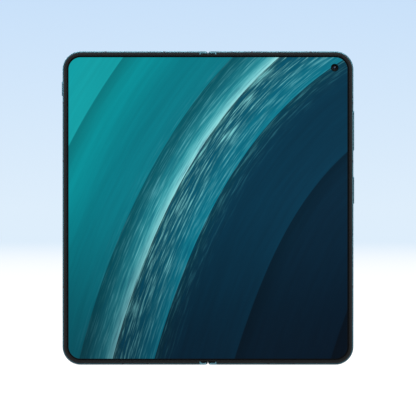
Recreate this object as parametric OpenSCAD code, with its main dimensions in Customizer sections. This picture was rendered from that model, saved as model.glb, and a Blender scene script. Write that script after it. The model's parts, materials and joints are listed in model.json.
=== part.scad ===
// Book-style foldable phone, opened flat and standing upright.
// Z is up, the inner display faces -Y and the fold line is the Z axis.
// Every piece is drawn lying on its back (x across, y up the phone, z towards
// the inner display) and stand() sets it upright on its bottom edge.

/* [Body] */
// Width of each half, from the fold line to its outer edge
half_w = 71.3; // [69:0.1:80]
// Height of the body
body_h = 153.6; // [150:0.1:165]
// Thickness of the open body, without the camera island
body_t = 5.8; // [5.7:0.05:6.6]
// Radius of the four outer corners
corner_r = 8.9; // [6:0.1:12]
// Wall thickness of the metal rail round each half
rail_w = 1.6; // [1.5:0.05:1.9]
// Width of the metal rim that shows round the bezel
rim_w = 0.64; // [0.5:0.02:0.8]
// Step from the bezel's face down to the metal rim
rim_drop = 0.1; // [0.05:0.01:0.15]
// Rounding of the rail's front edge
rim_round = 0.45; // [0.2:0.05:0.5]
// Rounding of the rail's back edge
back_round = 0.8; // [0.3:0.05:0.85]

/* [Inner display] */
// Distance of the bezel's inner edge from the body's outer edge
bezel_in = 2.3; // [2:0.05:3]
// Height of the raised bezel over the display
bezel_lift = 0.35; // [0.2:0.05:0.5]
// Rounding of the bezel's inner edge
bezel_round = 0.16; // [0.05:0.01:0.18]
// Distance of the display module's edge from the body's outer edge
display_in = 1.25; // [1.2:0.05:1.4]
// Thickness of the display module
display_t = 0.6; // [0.4:0.05:0.7]
// Thickness of the metal midplate that carries the display
midplate_t = 0.5; // [0.3:0.05:0.6]
// Half of the width of the display that bends
bend_half_w = 7; // [6.8:0.1:7.4]
// Inner camera: distance from the outer edge
selfie_side = 9.2; // [7:0.1:15]
// Inner camera: distance from the top edge
selfie_top = 8; // [7:0.1:12]
// Diameter of the hole in the display for the inner camera
selfie_d = 3.8; // [3:0.1:4.5]

/* [Hinge] */
// Distance of each hinge axis from the fold line
axis_x = 2.6; // [2.5:0.05:2.8]
// Gap left between the two bezels when the phone is shut
shut_gap = 0.1; // [0.05:0.01:0.2]
// Outer radius of the spine cover round each hinge axis
spine_r = 2.35; // [2.3:0.01:2.4]
// Wall thickness of the spine cover
spine_wall = 0.45; // [0.35:0.01:0.5]
// Running clearance between the spine cover and the recess round it
spine_clear = 0.07; // [0.05:0.01:0.1]
// Width of each hinge cap at the top and bottom of the fold
cap_w = 4.1; // [3.8:0.05:4.5]
// Depth of each hinge cap along the height of the phone
cap_depth = 1.5; // [1.3:0.05:1.6]
// Rounding of the cap's corner at the fold line
cap_round = 1.2; // [0.5:0.05:1.25]
// Width of the metal strip at the back beside the fold line
lip_edge_w = 1.5; // [1:0.05:2]
// Gap between each back strip and the fold line
lip_gap = 0.1; // [0.05:0.01:0.2]
// Gear module of the synchronising gears
gear_module = 0.2; // [0.19:0.005:0.2]
// Teeth on each swing arm
arm_teeth = 12; // [12:1:12]
// Teeth on each idler gear
idler_teeth = 7; // [7:1:7]
// Number of hinge modules along the fold
hinge_count = 3; // [2:1:4]
// Distance of the first and last hinge module from the ends of the body
hinge_end = 27; // [20:0.5:35]
// Thickness of the steel support plates behind the bending display
support_t = 0.2; // [0.15:0.01:0.25]
// Radius of each hinge pin
pin_r = 0.4; // [0.3:0.01:0.45]
// Running clearance of pins and gears in their bores
pin_clear = 0.03; // [0.02:0.01:0.05]

/* [Keys and tray] */
// How far the keys stand out of the rail
key_proud = 0.37; // [0.25:0.01:0.5]
// Width of the keys across the edge
key_t = 2; // [1.6:0.05:2.2]
// Travel of the keys
key_travel = 0.25; // [0.2:0.01:0.3]
// Length of the power key
power_len = 13.2; // [10:0.1:16]
// Distance of the power key's middle from the top edge
power_top = 68.1; // [66:0.1:72]
// Length of the volume rocker
volume_len = 19.5; // [17:0.1:22]
// Distance of the volume rocker's middle from the top edge
volume_top = 38.9; // [36:0.1:41]
// Length of the alert slider's button
slider_len = 7.1; // [6:0.1:9]
// Distance of the alert slider's middle position from the top edge
slider_top = 18.4; // [17.6:0.1:20.5]
// Travel of the alert slider either way
slider_travel = 1.6; // [1:0.1:2]
// Width of the card tray's blade
tray_w = 9.6; // [9.2:0.1:11]
// Depth of the card tray
tray_depth = 14.5; // [13.5:0.1:15]
// Distance of the tray's middle from the fold line
tray_x = 35.8; // [34:0.1:38]
// Radius of the ejector hole beside the tray
eject_r = 0.4; // [0.3:0.05:0.5]

/* [Back] */
// Thickness of the two back glasses
glass_t = 0.5; // [0.4:0.05:0.5]
// Distance of the back glasses from the body's outer edge
glass_in = 0.95; // [0.9:0.01:1.1]
// Gap round the back glasses
glass_gap = 0.05; // [0.02:0.01:0.1]
// Radius of the round camera island
island_r = 17.5; // [17:0.1:20]
// Height of the camera island over the back glass
island_rise = 2.9; // [2:0.1:3.5]
// Width of the island's metal ring
island_ring = 1.3; // [1:0.1:2]
// Distance of the island's middle from the fold line
island_x = 36.5; // [34:0.1:38]
// Distance of the island's middle from the top edge
island_top = 32.6; // [31.6:0.1:34.6]
// Radius of each rear lens barrel
lens_r = 5.2; // [4.5:0.1:5.4]
// Distance of the rear lenses from the island's middle
lens_pitch = 8.9; // [8.8:0.1:9.4]

/* [Ports and bands] */
// Width of the USB-C socket's shell
usb_w = 8.94; // [8.9:0.01:9]
// Height of the USB-C socket's shell
usb_t = 3.26; // [3.2:0.01:3.3]
// Distance of the USB-C socket's middle from the fold line
usb_x = 35.8; // [34:0.1:37]
// Radius of the loudspeaker's holes
speaker_hole_r = 0.65; // [0.4:0.05:0.8]
// Radius of the microphones' holes
mic_r = 0.4; // [0.3:0.05:0.5]
// Width of the antenna bands across the rail
band_w = 1.1; // [0.8:0.1:1.5]
// Height of the lower antenna band on the outer edges
low_band = 38.2; // [30:0.1:45]
// Distances from the top edge of the upper antenna bands on the outer edges
high_bands = [53.8, 25.3];
// Distances from the fold line of the antenna bands on the top edge
top_bands = [21.5, 50.2];
// Distances from the fold line of the antenna bands on the bottom edge
bottom_bands = [29.6, 41.8];

/* [Inner parts] */
// Thickness of the circuit boards
board_t = 0.6; // [0.4:0.05:0.8]
// Thickness of the main battery in the camera half
right_battery_t = 3.2; // [2.5:0.1:3.2]
// Thickness of the battery behind the cover display
left_battery_t = 2; // [1.5:0.1:2.1]
// Height of the main battery's lower end over the bottom edge
right_battery_y0 = 44; // [30:1:60]
// Height of the second battery's lower end over the bottom edge
left_battery_y0 = 22; // [18:1:40]
// Reach of the cover half's circuit board from the top edge
left_board_h = 32.6; // [28:0.1:36]
// Thickness of the cover display's panel
cover_panel_t = 1; // [0.6:0.05:1.2]
// Diameter of the cover display's camera hole
cover_camera_d = 3.6; // [3:0.1:4.2]

/* [Hidden] */
$fn = 48;
eps = 0.01;
right = 1;
left = -1;
bend_gap = 0.03;

// Levels, from the back face at 0 to the bezel's face at body_t
rim_top = body_t - rim_drop;
bezel_z = body_t - bezel_lift;
display_z = bezel_z - display_t;
ceiling_z = display_z - midplate_t;
floor_z = glass_t + glass_gap;
axis_depth = axis_x - shut_gap / 2;
axis_z = body_t - axis_depth;
stand_y = (body_t - island_rise) / 2;

// Places that are set from the top edge
power_y = body_h - power_top;
volume_y = body_h - volume_top;
slider_y = body_h - slider_top;
island_y = body_h - island_top;
side_bands = concat(low_band, [for (d = high_bands) body_h - d]);

// Hinge
recess_r = spine_r + spine_clear;
lip_top = axis_z - recess_r;
bore_in_spine_r = spine_r - spine_wall;
spine_end = cap_depth + 0.3;
spine_end_t = 0.8;
spine_open_drop = 0.1;
wall_x = bend_half_w + 1.2;
plate_x = bend_half_w + 0.5;
wall_top_z = body_t - 2.05;
arm_pitch_r = gear_module * arm_teeth / 2;
idler_pitch_r = gear_module * idler_teeth / 2;
idler_x = axis_x - arm_pitch_r - idler_pitch_r;
idler_pin_r = 0.2;
gear_len = 2.6;
cheek_t = 0.8;
cheek_gap = 0.2;
inner_cheek_y = gear_len / 2 + cheek_gap;
outer_cheek_y = inner_cheek_y + cheek_t + 3.9;
module_half = outer_cheek_y + cheek_t;
cheek_top_z = axis_z + 1.1;
cheek_x = axis_x + 0.9;
arm_t = 0.65;
foot_x0 = bend_half_w - 1.4;
foot_x1 = wall_x + 1.6;
foot_half = 4.6;
boss_x1 = foot_x1 + 0.4;
screw_x = wall_x + 0.3;
screw_y = 3;
screw_r = 0.45;
washer_count = 6;
washer_t = 0.3;
washer_cup = 0.28;
washer_r = 1.3;
support_z = display_z - 0.02 - support_t;
support_x0 = axis_x + 0.3;
support_x1 = bend_half_w - 0.1;
support_strip_x = support_x1 - 1;
roll_r = 0.28;
roll_x = bend_half_w + 0.1;
support_end = spine_end + spine_end_t + 0.4;
flex_w = 12;
flex_t = 0.12;
flex_y = body_h - support_end - 2 - flex_w;
flex_z = ceiling_z - 0.12;

// Keys, from the rail's inner face inwards
rail_in_x = half_w - rail_w;
key_z = body_t / 2;
key_flange_t = 0.5;
key_flange_lip = 0.4;
key_clear = 0.08;
power_gap = 0.1;
rocker_angle = 1.3;
rocker_gap = 0.3;
switch_pitch = 12;
switch_r = 0.6;
switch_w = 3;
switch_t = 0.7;
nub_t = 0.25;
post_t = 0.8;
key_step = 0.12;

// Tray
tray_t = 1;
tray_z = 2;
tray_face_w = tray_w + 6;
tray_face_t = 1.9;
tray_clear = 0.08;
reader_wall = 0.2;
eject_x = tray_x + tray_face_w / 2 - 1.3;

// Inner parts
inner_x = boss_x1 + 0.8;
outer_x = half_w - 5.3;
battery_x1 = outer_x - 0.5;
shelf_len = 3;
shelf_in = 2;
shelf_t = 0.9;
well_gap = 0.25;
well_rib_w = 0.5;
well_rib_h = 1;
board_y1 = body_h - rail_w - 1.5;
board_y0 = island_y - 20.5;
left_board_y0 = body_h - left_board_h;
battery_gap = 2.5;
magnet_len = 10;
magnet_ys = [26, 52];
camera_bay = 4;
shield_gap = 4.5;
reader_half = tray_w / 2 + 0.5;
cover_module_half = 2.8;
cover_module_gap = 0.4;
board_z = ceiling_z - 0.25 - board_t;
opening_r = lens_pitch + lens_r + 2.5;
adhesive = 0.05;
module_w = 2 * lens_r;
lens_face_z = -island_rise + 0.1;
barrel_len = floor_z + 1 - lens_face_z;
barrel_chamfer = 0.15;
well_mouth_r = lens_r - 0.9;
well_ledge = 0.35;
well_depth = 1.4;
mouth_depth = 0.4;
baffle_steps = 5;
lens_rise = 0.55;
lens_edge = 0.05;
lens_seat = 0.3;
lens_margin = 0.15;
window_z = -island_rise + 0.25;
window_t = 0.6;
port_z = body_t / 2 - 0.3;
speaker_x0 = usb_x + 9;
speaker_y1 = 18;
socket_depth = 7;
tongue_w = 6.69;
tongue_t = 0.7;
bracket_half = 3;
bracket_y1 = 9;
earpiece_depth = 8;
motor_x = 16;
motor_y = 8.5;
motor_half_w = 8;
motor_half_d = 3.5;
carrier_half_w = 10;
carrier_half_d = 1.5;
flex_reach = 3;
lens_z = bezel_z - 0.35;
flash_r = 1.7;
cover_camera_x = half_w / 2;
cover_camera_y = body_h - 7.2;
earpiece_x = cover_camera_x - 8.2;
earpiece_half = 4.6;

function module_ys() = [for (i = [0:hinge_count - 1])
    hinge_end + i * (body_h - 2 * hinge_end) / (hinge_count - 1)];

// Sets a piece that was drawn on its back upright on its bottom edge
module stand() translate([0, stand_y, 0]) rotate([90, 0, 0]) children();

// Mirrors a right-hand piece to the left half
module flip(side) mirror([side < 0 ? 1 : 0, 0, 0]) children();

// Extrudes a profile of (x, z) along the height of the phone
module along_y(y0, y1) translate([0, y1, 0]) rotate([90, 0, 0])
    linear_extrude(y1 - y0) children();

// Extrudes a profile of (y, z) across the phone
module along_x(x0, x1) translate([x0, 0, 0]) rotate([90, 0, 90])
    linear_extrude(x1 - x0) children();

module block(x0, x1, y0, y1, z0, z1) translate([x0, y0, z0])
    cube([x1 - x0, y1 - y0, z1 - z0]);

// What a round corner of radius r leaves of a square corner at the origin
module spandrel(r) difference() {
    translate([-eps, -eps]) square(r + eps);
    translate([r, r]) circle(r);
}

module rounded(x0, x1, y0, y1, r) difference() {
    translate([x0, y0]) square([x1 - x0, y1 - y0]);
    for (a = [0, 1]) for (b = [0, 1])
        translate([a ? x1 : x0, b ? y1 : y0]) mirror([a, 0]) mirror([0, b])
            spandrel(r);
}

module pad(x0, x1, y0, y1, z0, z1, r) translate([0, 0, z0])
    linear_extrude(z1 - z0) rounded(x0, x1, y0, y1, r);

module stadium(len, w) {
    square([len - w, w], center = true);
    for (s = [-1, 1]) translate([s * (len - w) / 2, 0]) circle(w / 2);
}

// Plan of the right half, set in from the outer edges and from x0 outwards
module half_plan(inset, x0) {
    r = corner_r - inset;
    difference() {
        translate([x0, inset])
            square([half_w - inset - x0, body_h - 2 * inset]);
        for (b = [0, 1])
            translate([half_w - inset, b ? body_h - inset : inset])
                mirror([1, 0]) mirror([0, b]) spandrel(r);
    }
}

// Carries a profile (x inwards from the edge, y up) round the outer edges
module edge_sweep(x0) {
    run_x = half_w - corner_r - x0;
    translate([half_w, body_h - corner_r, 0]) rotate([90, 0, 0])
        linear_extrude(body_h - 2 * corner_r) mirror([1, 0]) children();
    translate([x0, body_h, 0]) rotate([90, 0, 90])
        linear_extrude(run_x) mirror([1, 0]) children();
    translate([x0, 0, 0]) rotate([90, 0, 90])
        linear_extrude(run_x) children();
    for (b = [0, 1])
        translate([half_w - corner_r, b ? body_h - corner_r : corner_r, 0])
            rotate([0, 0, b ? 0 : -90]) rotate_extrude(angle = 90)
                translate([corner_r, 0]) mirror([1, 0]) children();
}

// ---------- metal frames ----------

module rail_profile() difference() {
    polygon([
        [0, 0], [glass_in, 0], [glass_in, floor_z], [rail_w, floor_z],
        [rail_w, display_z], [display_in, display_z], [display_in, bezel_z],
        [rim_w, bezel_z], [rim_w, rim_top], [0, rim_top]
    ]);
    spandrel(back_round);
    translate([0, rim_top]) mirror([0, 1]) spandrel(rim_round);
}

// Wall beside the hinge: a back strip, a thin lip under the glass and a
// hollow that the spine turns in
module hinge_wall_profile() difference() {
    polygon([
        [lip_gap, 0], [lip_edge_w, 0], [lip_edge_w, floor_z],
        [wall_x, floor_z], [wall_x, ceiling_z + eps],
        [plate_x, ceiling_z + eps], [plate_x, wall_top_z],
        [axis_x, wall_top_z], [axis_x, lip_top], [lip_gap, lip_top]
    ]);
    translate([axis_x, axis_z]) circle(recess_r);
    translate([lip_gap, 0]) spandrel(lip_gap + 0.15);
}

module foot_bosses() difference() {
    for (y = module_ys())
        block(axis_x + 1, boss_x1, y - foot_half - 0.4, y + foot_half + 0.4,
              floor_z, axis_z);
    along_y(0, body_h) translate([axis_x, axis_z]) circle(recess_r);
}

module screw_bores() for (y = module_ys()) for (s = [-1, 1])
    translate([screw_x, y + s * screw_y, floor_z + 0.3])
        cylinder(r = screw_r + pin_clear, h = axis_z);

module foot_pockets() for (y = module_ys())
    block(axis_x, boss_x1, y - foot_half - 0.2, y + foot_half + 0.2,
          axis_z, ceiling_z);

// Low seats that carry the rolled edge of the support plate
module roll_seats() for (b = [0, 1])
    for (y = [hinge_end + module_half + 2, body_h / 2 - module_half - 6])
    translate([0, b ? body_h : 0, 0]) mirror([0, b, 0])
        block(roll_x - 0.3, plate_x + eps, y, y + 4, wall_top_z - eps,
              support_z + support_t - 2 * roll_r - 0.06);

// Low ribs under the midplate that locate a battery on all four sides
module battery_well(y0, y1) {
    wall = well_gap + well_rib_w;
    translate([0, 0, ceiling_z - well_rib_h]) linear_extrude(well_rib_h + eps)
        difference() {
            rounded(inner_x - wall, battery_x1 + wall, y0 - wall, y1 + wall, 1.6);
            rounded(inner_x - well_gap, battery_x1 + well_gap, y0 - well_gap,
                    y1 + well_gap, 1.2);
        }
}

module blank_frame() {
    edge_sweep(cap_w) rail_profile();
    translate([0, 0, ceiling_z]) linear_extrude(midplate_t)
        half_plan(rail_w - eps, plate_x);
    difference() {
        union() {
            along_y(cap_depth, body_h - cap_depth) hinge_wall_profile();
            foot_bosses();
        }
        foot_pockets();
        screw_bores();
        block(plate_x - 1, wall_x + 1, flex_y - 0.5, flex_y + flex_w + 0.5,
              flex_z - flex_t - 0.1, ceiling_z);
    }
    roll_seats();
}

module band_boxes(side_ys, top_xs, bottom_xs) {
    reach = rail_w + 1;
    for (y = side_ys)
        block(half_w - reach, half_w + 1, y - band_w / 2, y + band_w / 2,
              -1, body_t);
    for (x = top_xs)
        block(x - band_w / 2, x + band_w / 2, body_h - reach, body_h + 1,
              -1, body_t);
    for (x = bottom_xs)
        block(x - band_w / 2, x + band_w / 2, -1, reach, -1, body_t);
}

module bands() intersection() {
    edge_sweep(cap_w) rail_profile();
    band_boxes(side_bands, top_bands, bottom_bands);
}

module frame_with_bands_out() difference() {
    blank_frame();
    difference() {
        band_boxes(side_bands, top_bands, bottom_bands);
        block(0, rail_in_x, rail_w, body_h - rail_w, -2, body_t + 1);
    }
}

module key_slot(len, y) translate([0, y, 0])
    along_x(rail_in_x - 1, half_w + 1)
        translate([0, key_z]) stadium(len + 2 * key_clear, key_t + 2 * key_clear);

module post(x1, y, w, z0) block(x1 - post_t, x1, y - w / 2, y + w / 2,
                                z0, ceiling_z + eps);

function power_flange_x() = rail_in_x - power_gap - key_flange_t;
function rocker_flange_x() = rail_in_x - rocker_gap - key_flange_t;
function power_switch_x() = power_flange_x() - key_travel - 0.02;
function rocker_switch_x() = rocker_flange_x() - 0.02
    - (switch_pitch / 2 + switch_r) * sin(rocker_angle);

module key_posts() {
    z0 = floor_z + 0.3;
    post(power_switch_x() - nub_t - switch_t, power_y, switch_w + 1.4, z0);
    post(rocker_switch_x() - nub_t - switch_t, volume_y,
         switch_pitch + switch_w + 1.4, z0);
    nub_r = 0.4;
    depth = rocker_flange_x() - 0.02 - nub_r;
    block(rocker_switch_x() - nub_t - switch_t - eps, depth,
          volume_y - nub_r, volume_y + nub_r, key_z - 1, key_z + 1);
    translate([depth, volume_y, key_z - 1]) cylinder(r = nub_r, h = 2);
}

module tray_slot() along_y(body_h - rail_w - 1, body_h + 1)
    translate([tray_x, tray_z + tray_t / 2])
        stadium(tray_face_w + 2 * tray_clear, tray_face_t + 2 * tray_clear);

module usb_slot() along_y(-1, rail_w + 1) translate([usb_x, port_z])
    stadium(usb_w + 0.1, usb_t + 0.1);

module edge_hole(x, r, top) along_y(top ? body_h - rail_w - 1 : -1,
                                    top ? body_h + 1 : rail_w + 1)
    translate([x, port_z]) circle(r);

module speaker_holes() for (i = [0:5])
    edge_hole(usb_x + 13 + 2.6 * i, speaker_hole_r, false);

module right_frame() color("#416e7c") stand() difference() {
    union() {
        frame_with_bands_out();
        key_posts();
        battery_well(right_battery_y0, board_y0 - battery_gap);
    }
    key_slot(power_len, power_y);
    key_slot(volume_len, volume_y);
    tray_slot();
    usb_slot();
    speaker_holes();
    edge_hole(usb_x - 12, mic_r, false);
    edge_hole(tray_x + 22, mic_r, true);
    translate([half_w - selfie_side, body_h - selfie_top, ceiling_z - 1])
        cylinder(d = selfie_d, h = 3);
}

module left_frame() color("#416e7c") stand() flip(left) difference() {
    union() {
        frame_with_bands_out();
        battery_well(left_battery_y0, left_board_y0 - battery_gap);
        post(slider_switch_x() - switch_t, slider_y, switch_pitch,
             glass_t + cover_panel_t + 0.2);
    }
    key_slot(slider_len + 2 * slider_travel, slider_y);
    for (i = [-1.5:1.5]) edge_hole(earpiece_x + 2.2 * i, speaker_hole_r, true);
    edge_hole(usb_x + 20, mic_r, false);
}

module antenna_bands(side) color("#2f4a54") stand() flip(side) bands();

// ---------- inner display ----------

module bezel_profile() difference() {
    polygon([
        [rim_w + 0.02, bezel_z], [bezel_in, bezel_z], [bezel_in, body_t],
        [rim_w + 0.02, body_t]
    ]);
    translate([bezel_in, body_t]) mirror([1, 0]) mirror([0, 1])
        spandrel(bezel_round);
    translate([rim_w + 0.02, body_t]) mirror([0, 1]) spandrel(bezel_round);
}

module bezel(side) color("#272a2a") stand() flip(side)
    edge_sweep(cap_w + bend_gap) bezel_profile();

module display_sheet(x0) translate([0, 0, display_z])
    linear_extrude(display_t) half_plan(display_in + 0.05, x0);

module right_display() color("#1b6f80") stand() difference() {
    display_sheet(bend_half_w + bend_gap);
    translate([half_w - selfie_side, body_h - selfie_top, display_z - 1])
        cylinder(d = selfie_d, h = 3);
}

module left_display() color("#1b6f80") stand() flip(left)
    display_sheet(bend_half_w + bend_gap);

module bending_display() color("#1b6f80") stand()
    block(-bend_half_w, bend_half_w, cap_depth + 0.05,
          body_h - cap_depth - 0.05, display_z, bezel_z);

// Flexible bezel across the fold, narrower between the hinge caps
module bending_bezel() color("#272a2a") stand() for (b = [0, 1])
    translate([0, b ? body_h : 0, 0]) mirror([0, b, 0])
        block(-cap_w, cap_w, cap_depth + 0.03, bezel_in, bezel_z, body_t);

// ---------- back ----------

module back_glass() linear_extrude(glass_t)
    half_plan(glass_in + glass_gap, lip_edge_w + glass_gap);

module island_at(z) translate([island_x, island_y, z]) children();

module rear_glass() color("#2a5563") stand() difference() {
    back_glass();
    island_at(-1) cylinder(r = island_r + glass_gap, h = 3);
}

module cover_glass() color("#0b0d0f") stand() flip(left) difference() {
    back_glass();
    translate([cover_camera_x, cover_camera_y, -1])
        cylinder(d = cover_camera_d, h = 3);
}

// Turned ring: a wide outer chamfer, a flat crown and a step inside
module camera_ring() color("#4b7886") stand() island_at(0) rotate_extrude()
    polygon([
        [island_r - island_ring, floor_z + 0.6], [island_r + 0.5, floor_z + 0.6],
        [island_r + 0.5, floor_z], [island_r, floor_z],
        [island_r, -island_rise + 0.8], [island_r - 0.8, -island_rise],
        [island_r - island_ring, -island_rise]
    ]);

function lens_angle(i) = 90 + 120 * i;

module at_lens(i) island_at(0)
    translate([lens_pitch * cos(lens_angle(i)), lens_pitch * sin(lens_angle(i)), 0])
        children();

module camera_window() color("#101418") stand() difference() {
    island_at(window_z)
        cylinder(r = island_r - island_ring - glass_gap, h = window_t);
    for (i = [0:2]) at_lens(i) translate([0, 0, -island_rise - 1])
        cylinder(r = lens_r + 0.02, h = 4);
    flash_at(-island_rise - 1) cylinder(r = flash_r + 0.02, h = 4);
}

// Radius of the sphere that a cap of base radius a and height h is cut from
function cap_sphere_r(a, h) = (a * a + h * h) / (2 * h);

// Turned barrel: a chamfered rim, a straight mouth and a baffle of steps
// that narrows down to the lens
module lens_barrel(glass_r) {
    baffle_r = well_mouth_r - well_ledge;
    step_r = (baffle_r - glass_r) / baffle_steps;
    step_z = (well_depth - mouth_depth) / baffle_steps;
    baffle = [for (i = [0:baffle_steps - 1]) for (down = [0, 1])
        [baffle_r - i * step_r, mouth_depth + (i + down) * step_z]];
    translate([0, 0, lens_face_z]) rotate_extrude() polygon(concat(
        [[0, barrel_len], [lens_r, barrel_len], [lens_r, barrel_chamfer],
         [lens_r - barrel_chamfer, 0], [well_mouth_r, 0],
         [well_mouth_r, mouth_depth]],
        baffle, [[glass_r, well_depth], [0, well_depth]]
    ));
}

// Domed glass with a thin straight edge, seated on the floor of its well
module lens_dome(r) {
    sphere_r = cap_sphere_r(r, lens_rise - lens_edge);
    intersection() {
        translate([0, 0, sphere_r - lens_rise]) sphere(r = sphere_r);
        translate([0, 0, -lens_rise - eps]) cylinder(r = r, h = lens_rise + lens_seat);
    }
}

// Camera module: a square base on the midplate, a barrel and a domed lens
module camera(i, glass_r) at_lens(i) {
    pad(-module_w / 2, module_w / 2, -module_w / 2, module_w / 2,
        floor_z + 0.6, ceiling_z, 1.2);
    lens_barrel(glass_r);
    translate([0, 0, lens_face_z + well_depth]) lens_dome(glass_r - lens_margin);
}

module wide_camera() color("#15181b") stand() camera(0, 3);
module ultrawide_camera() color("#15181b") stand() camera(1, 2.4);
module telephoto_camera() color("#15181b") stand() camera(2, 2.7);

module flash_at(z) translate([island_x, island_y - lens_pitch * 1.2, z])
    children();

module flash_lens() color("#f1ead2") stand() flash_at(window_z - 0.05)
    cylinder(r = flash_r, h = window_t + 0.4);

// ---------- inside the camera half ----------

module inner_camera() color("#0a0c10") stand()
    translate([half_w - selfie_side, body_h - selfie_top, 0]) {
        difference() {
            union() {
                translate([0, 0, ceiling_z - 1])
                    cylinder(d = selfie_d - 0.1, h = lens_z - ceiling_z + 1);
                pad(-3, 3, -3, 3, ceiling_z - 2.2, ceiling_z, 0.6);
            }
            translate([0, 0, lens_z - 0.5])
                cylinder(r1 = 0.7, r2 = 1.3, h = 0.5 + eps);
        }
        translate([0, 0, lens_z - 0.5]) intersection() {
            translate([0, 0, -0.6]) sphere(r = 0.9);
            cylinder(r = 0.7, h = 1);
        }
    }

// Pouch cell: the pouch, and a thinner shelf for its terminals at the top end
module battery(y0, y1, t) {
    top = ceiling_z - adhesive;
    pad(inner_x, battery_x1, y0, y1 - shelf_len, top - t, top, 1);
    pad(inner_x + shelf_in, battery_x1 - shelf_in, y1 - shelf_len - 1, y1,
        top - shelf_t, top, 0.4);
}

module right_battery() color("#2b2d30") stand()
    battery(right_battery_y0, board_y0 - battery_gap, right_battery_t);

module main_board() color("#17402f") stand() difference() {
    pad(inner_x, outer_x, board_y0, board_y1, board_z, board_z + board_t, 1.5);
    translate([island_x, island_y, board_z - 1]) cylinder(r = opening_r, h = 3);
    translate([half_w - selfie_side, body_h - selfie_top, board_z - 1])
        cube([2 * camera_bay, 2 * camera_bay, 6], center = true);
    for (y = [board_y0 + 3, board_y1 - 3])
        translate([inner_x + 3, y, board_z - 1]) cylinder(r = 0.8, h = 3);
}

module board_shields() color("#b9bcc0") stand() {
    bottom = board_z - 1.9;
    left_x = island_x - opening_r - 1;
    right_x = island_x + opening_r + 1;
    bay_x = half_w - selfie_side - camera_bay - 2;
    pad(inner_x + 0.8, left_x, board_y0 + 6, board_y1 - 14, bottom, board_z, 0.8);
    pad(right_x, outer_x - 1, board_y0 + 2, board_y1 - 15, bottom, board_z, 0.8);
    pad(tray_x + reader_half + shield_gap, bay_x, board_y1 - 11.5,
        board_y1 - 1, bottom, board_z, 0.8);
}

// Folded tube round the card tray's blade
module card_reader() color("#b9bcc0") stand() {
    y1 = body_h - rail_w - 0.4;
    difference() {
        block(tray_x - reader_half, tray_x + reader_half,
              y1 - tray_depth + 1, y1, tray_z - 0.3, board_z);
        block(tray_x - tray_w / 2 - 0.3, tray_x + tray_w / 2 + 0.3,
              y1 - tray_depth - 1 + reader_wall, y1 + 1,
              tray_z - 0.3 + reader_wall, board_z - reader_wall);
    }
}

module usb_c_socket() color("#9aa0a6") stand() {
    shell_y0 = 0.3;
    y1 = socket_depth + 0.6;
    along_y(shell_y0, y1) translate([usb_x, port_z]) difference() {
        stadium(usb_w, usb_t);
        stadium(usb_w - 0.6, usb_t - 0.6);
    }
    along_y(socket_depth, y1) translate([usb_x, port_z])
        square([usb_w - 2, usb_t - 0.4], center = true);
    along_y(shell_y0 + 0.9, socket_depth + eps) translate([usb_x, port_z])
        square([tongue_w, tongue_t], center = true);
    block(usb_x - bracket_half, usb_x + bracket_half, rail_w + 1, bracket_y1,
          port_z + usb_t / 2 - 0.05, ceiling_z);
}

module loudspeaker() color("#1c1e20") stand()
    pad(speaker_x0, outer_x - 3, rail_w + 0.3, speaker_y1, floor_z + 0.4,
        ceiling_z - adhesive, 1.2);

module switch_dome(x, y) {
    block(x - nub_t - switch_t, x - nub_t, y - switch_w / 2,
          y + switch_w / 2, key_z - 1, key_z + 1);
    translate([x - nub_t - eps, y, key_z]) rotate([0, 90, 0])
        cylinder(r = switch_r, h = nub_t + eps);
}

module key_switches() color("#c5c8cb") stand() {
    switch_dome(power_switch_x(), power_y);
    for (s = [-1, 1])
        switch_dome(rocker_switch_x(), volume_y + s * switch_pitch / 2);
}

module magnets() for (y = magnet_ys)
    pad(outer_x + 0.6, rail_in_x - 0.8, y, y + magnet_len, ceiling_z - 1.6,
        ceiling_z - adhesive, 0.5);

module right_magnets() color("#8f949a") stand() magnets();

// ---------- inside the cover half ----------

module cover_display() color("#050607") stand() flip(left) difference() {
    translate([0, 0, glass_t]) linear_extrude(cover_panel_t)
        half_plan(rail_w + 0.2, boss_x1 + 0.4);
    translate([cover_camera_x, cover_camera_y, 0])
        cylinder(d = cover_camera_d, h = 3);
}

module cover_camera() color("#0a0c10") stand() flip(left)
    translate([cover_camera_x, cover_camera_y, 0]) {
        difference() {
            union() {
                translate([0, 0, 0.25])
                    cylinder(d = cover_camera_d - 0.1, h = 2);
                pad(-cover_module_half, cover_module_half, -cover_module_half,
                    cover_module_half, glass_t + cover_panel_t + adhesive,
                    ceiling_z, 0.6);
            }
            translate([0, 0, 0.2]) cylinder(r1 = 1.2, r2 = 0.7, h = 0.6);
        }
        translate([0, 0, 0.8]) intersection() {
            translate([0, 0, 0.6]) sphere(r = 0.9);
            translate([0, 0, -0.5]) cylinder(r = 0.7, h = 0.6);
        }
    }

module left_battery() color("#2b2d30") stand() flip(left)
    battery(left_battery_y0, left_board_y0 - battery_gap, left_battery_t);

module left_board() color("#17402f") stand() flip(left) difference() {
    notch = cover_module_half + cover_module_gap;
    pad(inner_x, outer_x - 1, left_board_y0, board_y1, board_z,
        board_z + board_t, 1.5);
    block(cover_camera_x - notch, cover_camera_x + notch,
          cover_camera_y - notch, body_h, board_z - 1, board_z + 3);
    block(earpiece_x - earpiece_half - 0.5, earpiece_x + earpiece_half + 0.5,
          body_h - earpiece_depth - 0.4, body_h, board_z - 1, board_z + 2);
}

module earpiece() color("#1c1e20") stand() flip(left)
    pad(earpiece_x - earpiece_half, earpiece_x + earpiece_half,
        body_h - earpiece_depth, body_h - rail_w - 0.3,
        glass_t + cover_panel_t + 0.3, ceiling_z - adhesive, 0.8);

// Flat linear motor on its carrier
module vibration_motor() color("#b9bcc0") stand() flip(left)
    translate([inner_x + motor_x, motor_y, 0]) {
        pad(-motor_half_w, motor_half_w, -motor_half_d, motor_half_d,
            ceiling_z - 2, ceiling_z - adhesive, 1);
        pad(-carrier_half_w, carrier_half_w, -carrier_half_d, carrier_half_d,
            ceiling_z - 0.6, ceiling_z - adhesive, 1);
    }

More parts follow.
